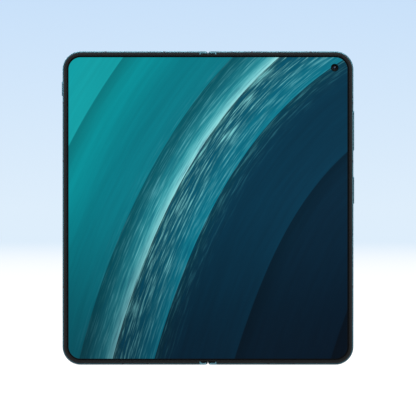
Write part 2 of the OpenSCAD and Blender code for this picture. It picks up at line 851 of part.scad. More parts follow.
function slider_switch_x() = power_flange_x() - 0.1;
module slider_switch() color("#c5c8cb") stand() flip(left)
    block(slider_switch_x() - switch_t, slider_switch_x(), slider_y - 3,
          slider_y + 3, key_z - 1, key_z + 1);

module left_magnets() color("#8f949a") stand() flip(left) magnets();

// ---------- hinge ----------

// Barrel-shaped cap: it turns with its half and clears the other cap
module cap() intersection() {
    along_y(body_h - cap_depth, body_h) difference() {
        union() {
            difference() {
                translate([axis_x, axis_z]) circle(rim_top - axis_z);
                translate([axis_x, 0]) square([cap_w, body_t]);
            }
            translate([lip_gap, 0]) square([axis_x - lip_gap, axis_z]);
            translate([axis_x, 0]) square([cap_w - axis_x, rim_top]);
        }
        translate([lip_gap, 0]) spandrel(0.6);
        translate([-1, axis_z]) square([lip_gap + 1, body_t]);
    }
    translate([0, 0, -1]) linear_extrude(body_t + 2) difference() {
        translate([0, body_h - cap_depth]) square([cap_w, cap_depth]);
        translate([lip_gap, body_h]) mirror([0, 1]) spandrel(cap_round);
    }
}

module hinge_caps(side) color("#5e8d99") stand() flip(side)
    for (b = [0, 1]) translate([0, b ? 0 : body_h, 0]) mirror([0, 1 - b, 0])
        difference() {
            cap();
            block(lip_edge_w, cap_w + 1, 0, body_h - glass_in, -1, floor_z);
        }

module spine_half_profile(r) {
    difference() {
        union() {
            for (s = [-1, 1]) translate([s * axis_x, axis_z]) circle(r);
            translate([-axis_x, axis_z - r]) square([2 * axis_x, r]);
        }
        translate([-2 * axis_x - r, axis_z - spine_open_drop])
            square([4 * axis_x + 2 * r, 2 * r]);
    }
}

module spine_cover() color("#4b7886") stand() {
    difference() {
        along_y(spine_end, body_h - spine_end) spine_half_profile(spine_r);
        along_y(spine_end + spine_end_t, body_h - spine_end - spine_end_t)
            spine_half_profile(bore_in_spine_r);
    }
    for (b = [0, 1]) translate([0, b ? body_h : 0, 0]) mirror([0, b, 0])
        block(-cheek_x, cheek_x, spine_end, spine_end + spine_end_t,
              axis_z - 0.5, cheek_top_z);
}

module cheek(y0, y1) along_y(y0, y1) difference() {
    union() {
        spine_half_profile(bore_in_spine_r - 0.02);
        translate([-cheek_x, axis_z - 0.5])
            square([2 * cheek_x, cheek_top_z - axis_z + 0.5]);
    }
    for (s = [-1, 1]) {
        translate([s * axis_x, axis_z]) circle(pin_r + pin_clear);
        translate([s * idler_x, axis_z]) circle(idler_pin_r + pin_clear);
    }
}

module hinge_bases() color("#8d9399") stand() for (y = module_ys()) {
    for (s = [-1, 1]) {
        a = y + s * inner_cheek_y;
        b = y + s * (inner_cheek_y + cheek_t);
        cheek(min(a, b), max(a, b));
        c = y + s * outer_cheek_y;
        d = y + s * (outer_cheek_y + cheek_t);
        cheek(min(c, d), max(c, d));
    }
    block(-axis_x, axis_x, y - module_half, y + module_half,
          axis_z - bore_in_spine_r + 0.02, axis_z - 1.5);
}

module hinge_pins() color("#c9cdd1") stand() for (y = module_ys())
    for (s = [-1, 1])
        along_y(y - module_half - 0.2, y + module_half + 0.2)
            translate([s * axis_x, axis_z]) circle(pin_r);

module idler_pins() color("#c9cdd1") stand() for (y = module_ys())
    for (s = [-1, 1])
        along_y(y - inner_cheek_y - cheek_t, y + inner_cheek_y + cheek_t)
            translate([s * idler_x, axis_z]) circle(idler_pin_r);

// Dished washer, cupped towards the height of the phone
module disc_spring() {
    bore_r = pin_r + pin_clear;
    rotate([90, 0, 0]) rotate_extrude() polygon([
        [bore_r, -washer_cup / 2], [washer_r, washer_cup / 2],
        [washer_r, washer_cup / 2 + washer_t], [bore_r, washer_t - washer_cup / 2]
    ]);
}

// Stacks of disc springs, dished in turn, press on the cheeks and drag the hinge
module disc_springs() color("#a5a9ad") stand() for (y = module_ys())
    for (s = [-1, 1]) for (t = [-1, 1]) for (i = [0:washer_count - 1]) {
        step = (outer_cheek_y - inner_cheek_y - cheek_t - 0.1) / washer_count;
        turned = i % 2;
        translate([s * axis_x, y + t * (inner_cheek_y + cheek_t + 0.05
                                        + step * (i + 0.5)), axis_z])
            mirror([0, turned, 0]) translate([0, washer_t / 2, 0]) disc_spring();
    }

module centre_support() color("#8d9399") stand()
    block(-0.7, 0.7, support_end, body_h - support_end, cheek_top_z,
          display_z - 0.02);

// Straight-flanked tooth outline; the first tooth points along angle phase
module gear_outline(teeth, phase) {
    pitch_r = gear_module * teeth / 2;
    part = 90 / teeth;
    flank = [
        [pitch_r - 1.1 * gear_module, 1.2], [pitch_r, 0.86],
        [pitch_r + 0.8 * gear_module, 0.4]
    ];
    corners = [for (k = [0:2]) [flank[k][0], -flank[k][1]],
               for (k = [2:-1:0]) flank[k]];
    polygon([for (i = [0:teeth - 1]) for (c = corners)
        c[0] * [cos(phase + 360 * i / teeth + c[1] * part),
                sin(phase + 360 * i / teeth + c[1] * part)]]);
}

// Swing arm: a toothed hub on the hinge pin and a foot screwed to its half
module swing_arm(y, phase) {
    difference() {
        union() {
            along_y(y - gear_len / 2, y + gear_len / 2)
                translate([axis_x, axis_z]) gear_outline(arm_teeth, phase);
            block(axis_x + 0.6, foot_x0 + 1, y - gear_len / 2,
                  y + gear_len / 2, axis_z, axis_z + arm_t);
            pad(foot_x0, foot_x1, y - foot_half, y + foot_half, axis_z,
                axis_z + arm_t, 0.8);
        }
        along_y(y - gear_len, y + gear_len)
            translate([axis_x, axis_z]) circle(pin_r + pin_clear);
        for (s = [-1, 1]) translate([screw_x, y + s * screw_y, axis_z - 1])
            cylinder(r = screw_r + pin_clear, h = 3);
    }
}

module swing_arms(side) color("#a5a9ad") stand() flip(side)
    for (y = module_ys())
        swing_arm(y, side == right ? 180 : 180 / arm_teeth);

module arm_screws(side) color("#d0d3d6") stand() flip(side)
    for (y = module_ys()) for (s = [-1, 1])
        translate([screw_x, y + s * screw_y, 0]) {
            translate([0, 0, floor_z + 0.4])
                cylinder(r = screw_r, h = axis_z + arm_t - floor_z - 0.4);
            translate([0, 0, axis_z + arm_t]) difference() {
                cylinder(r = 2 * screw_r, h = 0.35);
                translate([0, 0, 0.15]) cylinder(r = screw_r, h = 0.3, $fn = 6);
            }
        }

// The gaps between teeth face +X on both idlers, so the train meshes
module idler_gears(side) color("#c9cdd1") stand() for (y = module_ys())
    along_y(y - gear_len / 2, y + gear_len / 2)
        translate([side * idler_x, axis_z]) difference() {
            gear_outline(idler_teeth, 180);
            circle(idler_pin_r + pin_clear);
        }

// Thin plate behind the bending display, with its outer edge rolled round
module support_plate(side) color("#b4b8bc") stand() flip(side) {
    y1 = body_h - support_end;
    difference() {
        union() {
            block(support_x0, roll_x, support_end, y1, support_z,
                  support_z + support_t);
            along_y(support_end, y1)
                translate([roll_x, support_z + support_t - roll_r])
                    circle(roll_r);
        }
        for (y = module_ys())
            block(support_x0 - 1, support_strip_x, y - module_half - 0.5,
                  y + module_half + 0.5, support_z - 1, support_z + 2);
    }
}

// Flat ribbon that dips into the spine between two hinge modules
module hinge_flex() color("#6d4a1f") stand() {
    low = axis_z - bore_in_spine_r + 0.3;
    edge = [[inner_x + flex_reach, flex_z], [bend_half_w - 1.5, flex_z],
            [cheek_x, axis_z - 0.2], [axis_x - 1, low]];
    mirrored = [for (i = [3:-1:0]) [-edge[i][0], edge[i][1]]];
    upper = concat(edge, mirrored);
    lower = [for (i = [7:-1:0]) [upper[i][0], upper[i][1] - flex_t]];
    along_y(flex_y, flex_y + flex_w) polygon(concat(upper, lower));
}

// ---------- keys and tray ----------

// Key: a proud button with a stepped edge and a flange inside the rail
module key(len, gap, flange_len) {
    flange_out = rail_in_x - gap;
    along_x(flange_out - eps, half_w + key_proud - key_step) stadium(len, key_t);
    along_x(flange_out, half_w + key_proud)
        stadium(len - 2 * key_step, key_t - 2 * key_step);
    along_x(flange_out - key_flange_t, flange_out)
        stadium(flange_len, key_t + 2 * key_flange_lip);
}

module power_key() color("#3f6b7d") stand() translate([0, power_y, key_z])
    key(power_len, power_gap, power_len + 2 * key_flange_lip);

module volume_rocker() color("#3f6b7d") stand() translate([0, volume_y, key_z])
    key(volume_len, rocker_gap, volume_len + 2 * key_flange_lip);

module alert_slider() color("#3f6b7d") stand() flip(left)
    translate([0, slider_y, key_z])
        key(slider_len, power_gap, slider_len + 4 * slider_travel
            + 2 * key_flange_lip);

// Card tray: a face in the top edge and a blade with two card windows
module card_tray() color("#3f6b7d") stand() {
    mid_z = tray_z + tray_t / 2;
    y0 = body_h - tray_depth;
    difference() {
        union() {
            along_y(body_h - rail_w, body_h - 0.02) translate([tray_x, mid_z])
                stadium(tray_face_w, tray_face_t);
            block(tray_x - tray_w / 2, tray_x + tray_w / 2, y0,
                  body_h - rail_w + eps, tray_z, tray_z + tray_t);
        }
        pad(tray_x - tray_w / 2 + 0.6, tray_x + tray_w / 2 - 0.6, y0 + 0.9,
            body_h - rail_w - 0.6, tray_z + 0.3, tray_z + tray_t + 1, 0.8);
        pad(tray_x - tray_w / 2 + 2, tray_x + tray_w / 2 - 2, y0 + 3,
            body_h - rail_w - 3, tray_z - 1, tray_z + 1, 0.8);
        along_y(body_h - rail_w - 1, body_h + 1) translate([eject_x, mid_z])
            circle(eject_r);
    }
}

right_frame();
antenna_bands(right);  // right_antenna_bands
bezel(right);  // right_bezel
right_display();
rear_glass();
camera_ring();
camera_window();
wide_camera();
ultrawide_camera();
telephoto_camera();
flash_lens();
inner_camera();
right_battery();
main_board();
board_shields();
usb_c_socket();
loudspeaker();
key_switches();
card_reader();
right_magnets();
hinge_caps(right);  // right_hinge_caps
swing_arms(right);  // right_swing_arms
arm_screws(right);  // right_arm_screws
left_frame();
antenna_bands(left);  // left_antenna_bands
bezel(left);  // left_bezel
left_display();
cover_glass();
cover_display();
cover_camera();
left_battery();
left_board();
earpiece();
vibration_motor();
slider_switch();
left_magnets();
hinge_caps(left);  // left_hinge_caps
swing_arms(left);  // left_swing_arms
arm_screws(left);  // left_arm_screws
spine_cover();
hinge_bases();
hinge_pins();
idler_pins();
disc_springs();
centre_support();
bending_display();
bending_bezel();
hinge_flex();
support_plate(right);  // right_support_plate
support_plate(left);  // left_support_plate
idler_gears(right);  // right_idler_gears
idler_gears(left);  // left_idler_gears
power_key();
volume_rocker();
alert_slider();
card_tray();
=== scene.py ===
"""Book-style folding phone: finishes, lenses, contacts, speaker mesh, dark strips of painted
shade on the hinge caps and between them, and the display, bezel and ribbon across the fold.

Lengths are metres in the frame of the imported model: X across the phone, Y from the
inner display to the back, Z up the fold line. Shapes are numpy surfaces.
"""
import json
import math

import bmesh
import bpy
import numpy as np
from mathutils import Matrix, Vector


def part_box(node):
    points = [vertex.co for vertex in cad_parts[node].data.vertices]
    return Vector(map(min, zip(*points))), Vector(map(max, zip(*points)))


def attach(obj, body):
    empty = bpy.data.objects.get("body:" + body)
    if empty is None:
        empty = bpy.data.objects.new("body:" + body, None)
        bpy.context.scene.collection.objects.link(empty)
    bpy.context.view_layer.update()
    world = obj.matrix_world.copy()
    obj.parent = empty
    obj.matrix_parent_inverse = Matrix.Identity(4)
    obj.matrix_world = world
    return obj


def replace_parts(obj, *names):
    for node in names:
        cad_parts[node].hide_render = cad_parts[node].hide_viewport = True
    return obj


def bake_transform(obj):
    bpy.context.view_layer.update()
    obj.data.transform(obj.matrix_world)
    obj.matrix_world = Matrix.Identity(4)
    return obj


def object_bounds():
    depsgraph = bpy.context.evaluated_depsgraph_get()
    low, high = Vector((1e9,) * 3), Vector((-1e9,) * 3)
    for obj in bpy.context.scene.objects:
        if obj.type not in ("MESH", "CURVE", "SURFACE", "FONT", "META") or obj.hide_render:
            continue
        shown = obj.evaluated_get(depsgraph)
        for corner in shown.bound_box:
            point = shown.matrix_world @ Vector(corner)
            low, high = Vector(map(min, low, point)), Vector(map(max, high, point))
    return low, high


MM = 0.001
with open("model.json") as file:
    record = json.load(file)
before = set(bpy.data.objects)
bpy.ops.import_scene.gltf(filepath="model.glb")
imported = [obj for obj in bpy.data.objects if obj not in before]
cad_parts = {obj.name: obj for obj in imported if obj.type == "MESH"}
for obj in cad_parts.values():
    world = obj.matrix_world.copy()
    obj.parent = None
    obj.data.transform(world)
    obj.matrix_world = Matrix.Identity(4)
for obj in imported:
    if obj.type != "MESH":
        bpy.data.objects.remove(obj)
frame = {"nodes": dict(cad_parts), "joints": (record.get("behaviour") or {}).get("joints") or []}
nodes = frame["nodes"]
cad_low, cad_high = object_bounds()
joints = {j["name"]: j for j in frame["joints"]}


def corner(node):
    """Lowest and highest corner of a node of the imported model, as arrays."""
    low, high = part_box(node)
    return np.array(low), np.array(high)


def middle_of(node):
    """Middle of a node's box."""
    low, high = corner(node)
    return (low + high) / 2


def face_middle(node, side, deeper=0.0):
    """Middle of the face of a node's box at -Y (side 0) or +Y (side 1), moved along Y."""
    spot = middle_of(node)
    spot[1] = corner(node)[side][1] + deeper
    return spot


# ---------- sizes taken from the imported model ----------
HALF_W, _, BODY_H = corner("right_frame")[1]
MID_Z = BODY_H / 2
FACE_Y = corner("right_bezel")[0][1]
FOLD_AXIS = np.array(joints["fold_right"]["pos_m"])
SIGN = {"right": 1.0, "left": -1.0}

# ---------- sizes of the pattern on the front ----------
CORNER_R = 8.9 * MM
ACTIVE_INSET = 2.96 * MM
ACTIVE_CORNER = 5.9 * MM
ACTIVE_SOFT = 0.02 * MM
BEZEL_W = 2.4 * MM


# ---------- node graphs ----------
class Graph:
    """Short names for building one material's nodes."""

    def __init__(self, name):
        self.material = bpy.data.materials.new(name)
        self.material.use_nodes = True
        self.tree = self.material.node_tree
        self.shader = self.tree.nodes["Principled BSDF"]

    def node(self, kind, **settings):
        made = self.tree.nodes.new(kind)
        for key, value in settings.items():
            setattr(made, key, value)
        return made

    def feed(self, socket, value):
        """Links a socket or sets a plain value."""
        if isinstance(value, bpy.types.NodeSocket):
            self.tree.links.new(value, socket)
        else:
            socket.default_value = value

    def math(self, operation, a, b=0.0, c=0.0, clamp=False):
        made = self.node("ShaderNodeMath", operation=operation, use_clamp=clamp)
        for socket, value in zip(made.inputs, (a, b, c)):
            self.feed(socket, value)
        return made.outputs[0]

    def hypot(self, a, b):
        """Square root of the sum of both squares."""
        squares = [self.math("MULTIPLY", side, side) for side in (a, b)]
        return self.math("SQRT", self.math("ADD", *squares))

    def step(self, value, low, high, out_low=0.0, out_high=1.0):
        """Smooth step of value from low to high."""
        made = self.node("ShaderNodeMapRange", interpolation_type="SMOOTHSTEP")
        for socket, number in zip(made.inputs, (value, low, high, out_low, out_high)):
            self.feed(socket, number)
        return made.outputs[0]

    def mix(self, factor, a, b, blend="MIX"):
        made = self.node("ShaderNodeMix", data_type="RGBA", blend_type=blend)
        self.feed(made.inputs[0], factor)
        self.feed(made.inputs[6], a)
        self.feed(made.inputs[7], b)
        return made.outputs[2]

    def ramp(self, value, stops):
        made = self.node("ShaderNodeValToRGB")
        made.color_ramp.interpolation = "EASE"
        elements = made.color_ramp.elements
        for spot, colour in zip((elements[0], elements[1]), (stops[0], stops[-1])):
            spot.position, spot.color = colour[0], colour[1]
        for position, colour in stops[1:-1]:
            elements.new(position).color = colour
        self.feed(made.inputs[0], value)
        return made.outputs[0]

    def place(self, origin=(0, 0, 0), scale=(1, 1, 1), source="Object"):
        """Object coordinates moved so that origin is at 0, then scaled."""
        coords = self.node("ShaderNodeTexCoord").outputs[source]
        mapping = self.node("ShaderNodeMapping", vector_type="POINT")
        self.feed(mapping.inputs["Vector"], coords)
        mapping.inputs["Location"].default_value = [-o * s for o, s in zip(origin, scale)]
        mapping.inputs["Scale"].default_value = scale
        return mapping.outputs[0]

    def noise(self, vector, scale, detail=2.0, roughness=0.5):
        made = self.node("ShaderNodeTexNoise")
        self.feed(made.inputs["Vector"], vector)
        made.inputs["Scale"].default_value = scale
        made.inputs["Detail"].default_value = detail
        made.inputs["Roughness"].default_value = roughness
        return made.outputs[0]

    def split(self, vector):
        made = self.node("ShaderNodeSeparateXYZ")
        self.feed(made.inputs[0], vector)
        return made.outputs

    def bump(self, height, strength, distance):
        made = self.node("ShaderNodeBump")
        made.inputs["Strength"].default_value = strength
        made.inputs["Distance"].default_value = distance
        self.feed(made.inputs["Height"], height)
        self.feed(self.shader.inputs["Normal"], made.outputs[0])

    def set(self, **values):
        """Sets or feeds inputs of the shader; an underscore stands for a space."""
        for key, value in values.items():
            self.feed(self.shader.inputs[key.replace("_", " ")], value)
        return self


def srgb(*rgb):
    """An opaque colour from 0-255 display values."""
    unit = np.array(rgb) / 255
    linear = np.where(unit <= 0.04045, unit / 12.92, ((unit + 0.055) / 1.055) ** 2.4)
    return (*linear.tolist(), 1.0)


def shade(colour, factor):
    """A colour made lighter or darker."""
    return (*[channel * factor for channel in colour[:3]], 1.0)


# ---------- metals ----------
def blasted_metal(name, colour, roughness=0.36, metallic=1.0):
    """Bead-blasted anodised aluminium: fine pits and soft clouding of the dye."""
    g = Graph(name)
    where = g.place()
    cloud = g.noise(where, 60, 3)
    pits = g.noise(where, 9000, 2, 0.7)
    tone = g.math("ADD", g.math("MULTIPLY", cloud, 0.7), g.math("MULTIPLY", pits, 0.3))
    tint = g.step(tone, 0.25, 0.75)
    g.set(
        Base_Color=g.mix(tint, shade(colour, 0.9), shade(colour, 1.1)),
        Metallic=metallic,
        Roughness=g.step(pits, 0.2, 0.8, roughness - 0.05, roughness + 0.05),
    )
    g.bump(pits, 0.12, 0.02 * MM)
    return g.material


def brushed_metal(name, colour, roughness, grain=(900, 900, 12)):
    """Satin metal with a fine grain drawn along the phone."""
    g = Graph(name)
    lines = g.noise(g.place(scale=grain), 6, 3, 0.6)
    cloud = g.noise(g.place(), 140, 2)
    base = g.mix(g.step(lines, 0.3, 0.7), shade(colour, 0.86), shade(colour, 1.12))
    g.set(
        Base_Color=g.mix(g.step(cloud, 0.3, 0.7), base, shade(colour, 0.94)),
        Metallic=1.0,
        Roughness=g.step(lines, 0.2, 0.8, roughness - 0.06, roughness + 0.08),
    )
    g.bump(lines, 0.15, 0.01 * MM)
    return g.material


def turned_metal(name, colour, roughness, centre, pitch, metallic=1.0):
    """Metal turned on a lathe: fine rings about centre, in the plane of the back."""
    g = Graph(name)
    x, _, z = g.split(g.place(origin=centre))
    radius = g.hypot(x, z)
    rings = g.math("SINE", g.math("MULTIPLY", radius, 2 * math.pi / pitch))
    rough = g.noise(g.place(), 3000, 2)
    g.set(
        Base_Color=g.mix(g.step(rings, -1, 1), shade(colour, 0.88), shade(colour, 1.1)),
        Metallic=metallic,
        Roughness=g.step(rough, 0.2, 0.8, roughness - 0.05, roughness + 0.05),
    )
    g.bump(rings, 0.2, pitch / 20)
    return g.material


KNURL_PITCH = 0.5 * MM
KNURL_FADES = (0.15 * MM, 0.25 * MM)


def knurled_metal(name, colour, face_x):
    """Metal with a diamond knurl on the face at -X, which fades out just behind it.

    The diamonds are the product of two diagonal waves in Y and Z. Their valleys are painted
    darker, as painted shade.
    """
    g = Graph(name)
    x, y, z = g.split(g.place())
    turns = math.pi / KNURL_PITCH
    waves = [
        g.math("ABSOLUTE", g.math("SINE", g.math("MULTIPLY", g.math(side, z, y), turns)))
        for side in ("ADD", "SUBTRACT")
    ]
    plain = g.step(x, *(face_x + depth for depth in KNURL_FADES))
    peak = g.math("MAXIMUM", g.math("MULTIPLY", waves[0], waves[1]), plain)
    g.set(
        # painted shade: the base colour darkens to 0.72 of the colour in the knurl's valleys
        Base_Color=g.mix(peak, shade(colour, 0.72), shade(colour, 1.1)),
        Metallic=0.9,
        Roughness=g.step(peak, 0.0, 1.0, 0.42, 0.3),
    )
    g.bump(peak, 0.7, 0.08 * MM)
    return g.material


# ---------- plastics, films and boards ----------
def moulded_resin(name, colour, roughness, grain=4000, depth=0.15, gloss=0.35):
    """Moulded plastic with a fine spark-eroded grain."""
    g = Graph(name)
    where = g.place()
    spark = g.noise(where, grain, 3, 0.6)
    cloud = g.noise(where, 120, 2)
    g.set(
        Base_Color=g.mix(g.step(cloud, 0.3, 0.7), shade(colour, 0.88), shade(colour, 1.12)),
        Roughness=g.step(spark, 0.2, 0.8, roughness - 0.06, roughness + 0.06),
        Specular_IOR_Level=gloss,
    )
    g.bump(spark, depth, 0.02 * MM)
    return g.material


def circuit_board(name, mask, track):
    """Solder-masked board: copper tracks on a brick grid and small parts between them."""
    g = Graph(name)
    where = g.place(scale=(1000, 1000, 1000))
    cells = g.node("ShaderNodeTexBrick", offset=0.5)
    g.feed(cells.inputs["Vector"], g.place(scale=(600, 1, 600)))
    cells.inputs["Scale"].default_value = 1.0
    cells.inputs["Mortar Size"].default_value = 0.06
    parts = g.node("ShaderNodeTexVoronoi", feature="F1")
    g.feed(parts.inputs["Vector"], where)
    parts.inputs["Scale"].default_value = 0.6
    pad = g.step(parts.outputs["Distance"], 0.16, 0.2, 1.0, 0.0)
    copper = g.mix(cells.outputs["Fac"], mask, track)
    g.set(
        Base_Color=g.mix(pad, copper, srgb(150, 152, 150)),
        Roughness=g.step(pad, 0, 1, 0.35, 0.5),
    )
    g.bump(g.math("ADD", pad, cells.outputs["Fac"]), 0.3, 0.05 * MM)
    return g.material


TRACK_PITCH = 0.6 * MM


def ribbon_film(name, colour, track):
    """Polyimide ribbon with tracks running across the fold, on the rest coordinates."""
    g = Graph(name)
    _, _, z = g.split(rest_place(g))
    wave = g.math("SINE", g.math("MULTIPLY", z, 2 * math.pi / TRACK_PITCH))
    lines = g.step(wave, 0.2, 0.5)
    g.set(Base_Color=g.mix(lines, colour, track), Roughness=0.3, Coat_Weight=0.4)
    g.bump(lines, 0.3, 0.02 * MM)
    return g.material


def wrinkled_foil(name, colour):
    """Battery pouch: dark matt foil with shallow wrinkles."""
    g = Graph(name)
    folds = g.noise(g.place(scale=(1, 1, 0.6)), 180, 4, 0.55)
    g.set(
        Base_Color=g.mix(g.step(folds, 0.3, 0.7), shade(colour, 0.8), shade(colour, 1.2)),
        Roughness=g.step(folds, 0.3, 0.7, 0.42, 0.6),
        Metallic=0.3,
    )
    g.bump(folds, 0.4, 0.1 * MM)
    return g.material


# ---------- glass ----------
def frosted_glass(name, colour):
    """Etched back glass: colour under a matt silky face that glints finely, and painted light that
    makes the colour lighter towards the top.
    """
    g = Graph(name)
    where = g.place()
    _, _, z = g.split(where)
    fine = g.noise(where, 7000, 2, 0.7)
    # painted light: the colour is scaled from 0.82 at the bottom to 1.12 at the top
    depth = g.step(z, 0.0, float(BODY_H), 0.82, 1.12)
    base = g.mix(g.step(fine, 0.35, 0.65), shade(colour, 0.93), shade(colour, 1.07))
    painted_light_base = g.node("ShaderNodeVectorMath", operation="SCALE")
    g.feed(painted_light_base.inputs[0], base)
    g.feed(painted_light_base.inputs["Scale"], depth)
    g.set(
        Base_Color=painted_light_base.outputs[0],
        Metallic=0.45,
        Roughness=g.step(fine, 0.2, 0.8, 0.3, 0.4),
        Coat_Weight=0.25,
        Coat_Roughness=0.3,
    )
    g.bump(fine, 0.08, 0.01 * MM)
    return g.material


def black_glass(name, colour, roughness=0.05):
    """Polished glass over black ink, with the faintest haze of fingerprints."""
    g = Graph(name)
    haze = g.noise(g.place(), 45, 4, 0.6)
    g.set(
        Base_Color=g.mix(g.step(haze, 0.4, 0.7), colour, shade(colour, 1.6)),
        Roughness=g.step(haze, 0.45, 0.75, roughness, roughness + 0.07),
        Specular_IOR_Level=0.5,
        Coat_Weight=0.3,
        Coat_Roughness=0.03,
    )
    return g.material


def coated_lens(name, centre, radius, tint, gloss=0.7, coat=1.0):
    """Stack of lens elements seen from the front, under a hard clear front face.

    A black pupil of painted shade, rings of the tint that are painted reflections of the
    coated elements, and the dark cell round them, by the distance from the centre, which
    leans a little so that the rings aren't concentric. Faint clouds of the tint are painted
    ghost reflections.
    """
    g = Graph(name)
    x, _, z = g.split(g.place(origin=centre))
    away = g.hypot(x, z)
    lean = g.math("MULTIPLY", g.math("SUBTRACT", x, z), 0.12)
    share = g.math("DIVIDE", g.math("ADD", away, lean), float(radius))
    # painted reflections and shade: the tinted rings stand for light reflected by the coated
    # elements, the black pupil for the shade inside the camera
    rings = g.ramp(
        share,
        [
            (0.00, srgb(3, 3, 5)),
            (0.24, srgb(4, 4, 7)),
            (0.30, shade(tint, 0.30)),
            (0.46, shade(tint, 0.75)),
            (0.52, shade(tint, 0.10)),
            (0.60, shade(tint, 0.55)),
            (0.78, shade(tint, 0.12)),
            (0.93, srgb(4, 5, 7)),
        ],
    )
    # painted reflection: faint clouds of the tint stand for ghost reflections
    painted_ghost_reflection = g.noise(g.place(), 700, 1)
    g.set(
        Base_Color=g.mix(g.step(painted_ghost_reflection, 0.45, 0.8, 0.0, 0.35), rings, shade(tint, 0.5)),
        Roughness=0.04,
        Specular_IOR_Level=gloss,
        Coat_Weight=coat,
        Coat_Roughness=0.01,
    )
    return g.material


def flash_glass(name):
    """Pale diffusing lens over the yellow phosphor of the lamp."""
    g = Graph(name)
    soft = g.noise(g.place(), 2500, 2)
    g.set(
        Base_Color=g.mix(g.step(soft, 0.3, 0.7), srgb(232, 226, 196), srgb(246, 240, 214)),
        Roughness=0.18,
        Subsurface_Weight=0.2,
        Subsurface_Scale=0.6 * MM,
        Coat_Weight=0.5,
        Coat_Roughness=0.1,
    )
    return g.material


# ---------- inner display ----------
def rest_place(g):
    """Rest coordinates of a bending piece: X and Z as they are with the phone flat."""
    stored = g.node("ShaderNodeAttribute", attribute_name="flat_place")
    return stored.outputs["Vector"]


def inset(g, where, edge_x, edge_z, radius):
    """How far a point lies inside a rounded rectangle about the middle of the display."""
    x, _, z = g.split(where)
    qx = g.math("SUBTRACT", g.math("ABSOLUTE", x), edge_x - radius)
    from_middle = g.math("ABSOLUTE", g.math("SUBTRACT", z, float(MID_Z)))
    qz = g.math("SUBTRACT", from_middle, edge_z - radius)
    away = g.hypot(g.math("MAXIMUM", qx, 0.0), g.math("MAXIMUM", qz, 0.0))
    inner = g.math("MINIMUM", g.math("MAXIMUM", qx, qz), 0.0)
    return g.math("SUBTRACT", radius, g.math("ADD", away, inner))


SWEEP_AT = (2.2, -1.6)
SWEEP_REACH = 4.4
THREADS_AT = 3.0


def folded_ribbons(g, where):
    """Wallpaper: wide overlapping ribbons that sweep round the lower right corner.

    Each ribbon is a band of the distance from SWEEP_AT, in half widths from the middle,
    bent by a slow wave along the sweep. It is lit along its leading edge and falls off
    into its own shadow. Strands of noise drawn out along the sweep make light threads
    and dark hollows about THREADS_AT, and the lower part is darker.
    """
    x, _, z = g.split(where)
    u = g.math("DIVIDE", x, float(HALF_W))
    v = g.math("DIVIDE", g.math("SUBTRACT", z, float(MID_Z)), float(HALF_W))
    du, dv = (g.math("SUBTRACT", a, b) for a, b in zip((u, v), SWEEP_AT))
    radius = g.hypot(du, dv)
    angle = g.math("ARCTAN2", dv, g.math("MULTIPLY", du, -1.0))
    sway = g.math("MULTIPLY", g.math("SINE", g.math("MULTIPLY_ADD", angle, 3.1, 0.6)), 0.16)
    reach = g.math("ADD", radius, sway)
    flow = g.node("ShaderNodeCombineXYZ")
    g.feed(flow.inputs[0], g.math("MULTIPLY", angle, 1.6))
    g.feed(flow.inputs[1], g.math("MULTIPLY", reach, 9.0))
    silk = g.noise(flow.outputs[0], 3.2, 5, 0.62)
    strands = g.noise(flow.outputs[0], 9.0, 4, 0.55)
    soft = g.noise(flow.outputs[0], 0.7, 2)
    colour = g.ramp(
        g.math("DIVIDE", reach, SWEEP_REACH),
        [
            (0.28, srgb(5, 24, 40)),
            (0.46, srgb(7, 40, 60)),
            (0.60, srgb(5, 52, 74)),
            (0.69, srgb(3, 78, 96)),
            (0.78, srgb(2, 118, 130)),
            (0.87, srgb(5, 150, 158)),
            (0.97, srgb(12, 162, 168)),
        ],
    )
    for edge, width, light, glow in (
        (1.62, 0.60, srgb(8, 44, 68), 0.5),
        (2.25, 0.55, srgb(8, 66, 92), 0.6),
        (2.78, 0.32, srgb(14, 150, 172), 0.9),
        (3.06, 0.24, srgb(60, 190, 200), 1.0),
        (3.06, 0.08, srgb(176, 240, 240), 0.9),
        (3.28, 0.50, srgb(16, 136, 150), 0.6),
        (3.86, 0.60, srgb(34, 176, 178), 0.5),
    ):
        past = g.math("DIVIDE", g.math("SUBTRACT", reach, edge), width)
        lit = g.math("POWER", g.math("SUBTRACT", 1.0, past, clamp=True), 2.2)
        inside = g.step(past, 0.0, 0.012)
        outside = g.math("SUBTRACT", 1.0, inside)
        shadow = g.step(past, -0.35, 0.0)
        shadow = g.math("MULTIPLY", g.math("MULTIPLY", shadow, shadow), outside)
        amount = g.math("MULTIPLY", g.math("MULTIPLY", lit, inside), glow)
        amount = g.math("MULTIPLY", amount, g.step(soft, 0.2, 0.75, 0.55, 1.1))
        colour = g.mix(amount, colour, light)
        colour = g.mix(g.math("MULTIPLY", shadow, 0.45), colour, shade(light, 0.12))
    grain = g.step(silk, 0.25, 0.8, 0.0, 1.0)
    weave = g.mix(grain, srgb(0, 20, 40), srgb(150, 220, 224))
    fine = g.mix(0.14, colour, weave, "SOFT_LIGHT")
    off = g.math("ABSOLUTE", g.math("SUBTRACT", reach, THREADS_AT))
    band = g.math("SUBTRACT", 1.0, g.math("MULTIPLY", off, 2.6), clamp=True)
    thread = g.math("POWER", g.step(strands, 0.42, 0.76), 1.5)
    foam = g.mix(band, srgb(10, 140, 170), srgb(150, 240, 240))
    fine = g.mix(g.math("MULTIPLY", thread, g.math("MULTIPLY", band, 0.9)), fine, foam)
    hollow = g.math("POWER", g.step(strands, 0.56, 0.24), 1.3)
    sunk = g.math("MULTIPLY", hollow, g.math("MULTIPLY", band, 0.85))
    fine = g.mix(sunk, fine, srgb(0, 84, 116))
    lower = g.step(v, -1.15, 0.25, 0.9, 0.0)
    return g.mix(lower, fine, g.mix(0.7, fine, srgb(2, 66, 96), "MULTIPLY"))


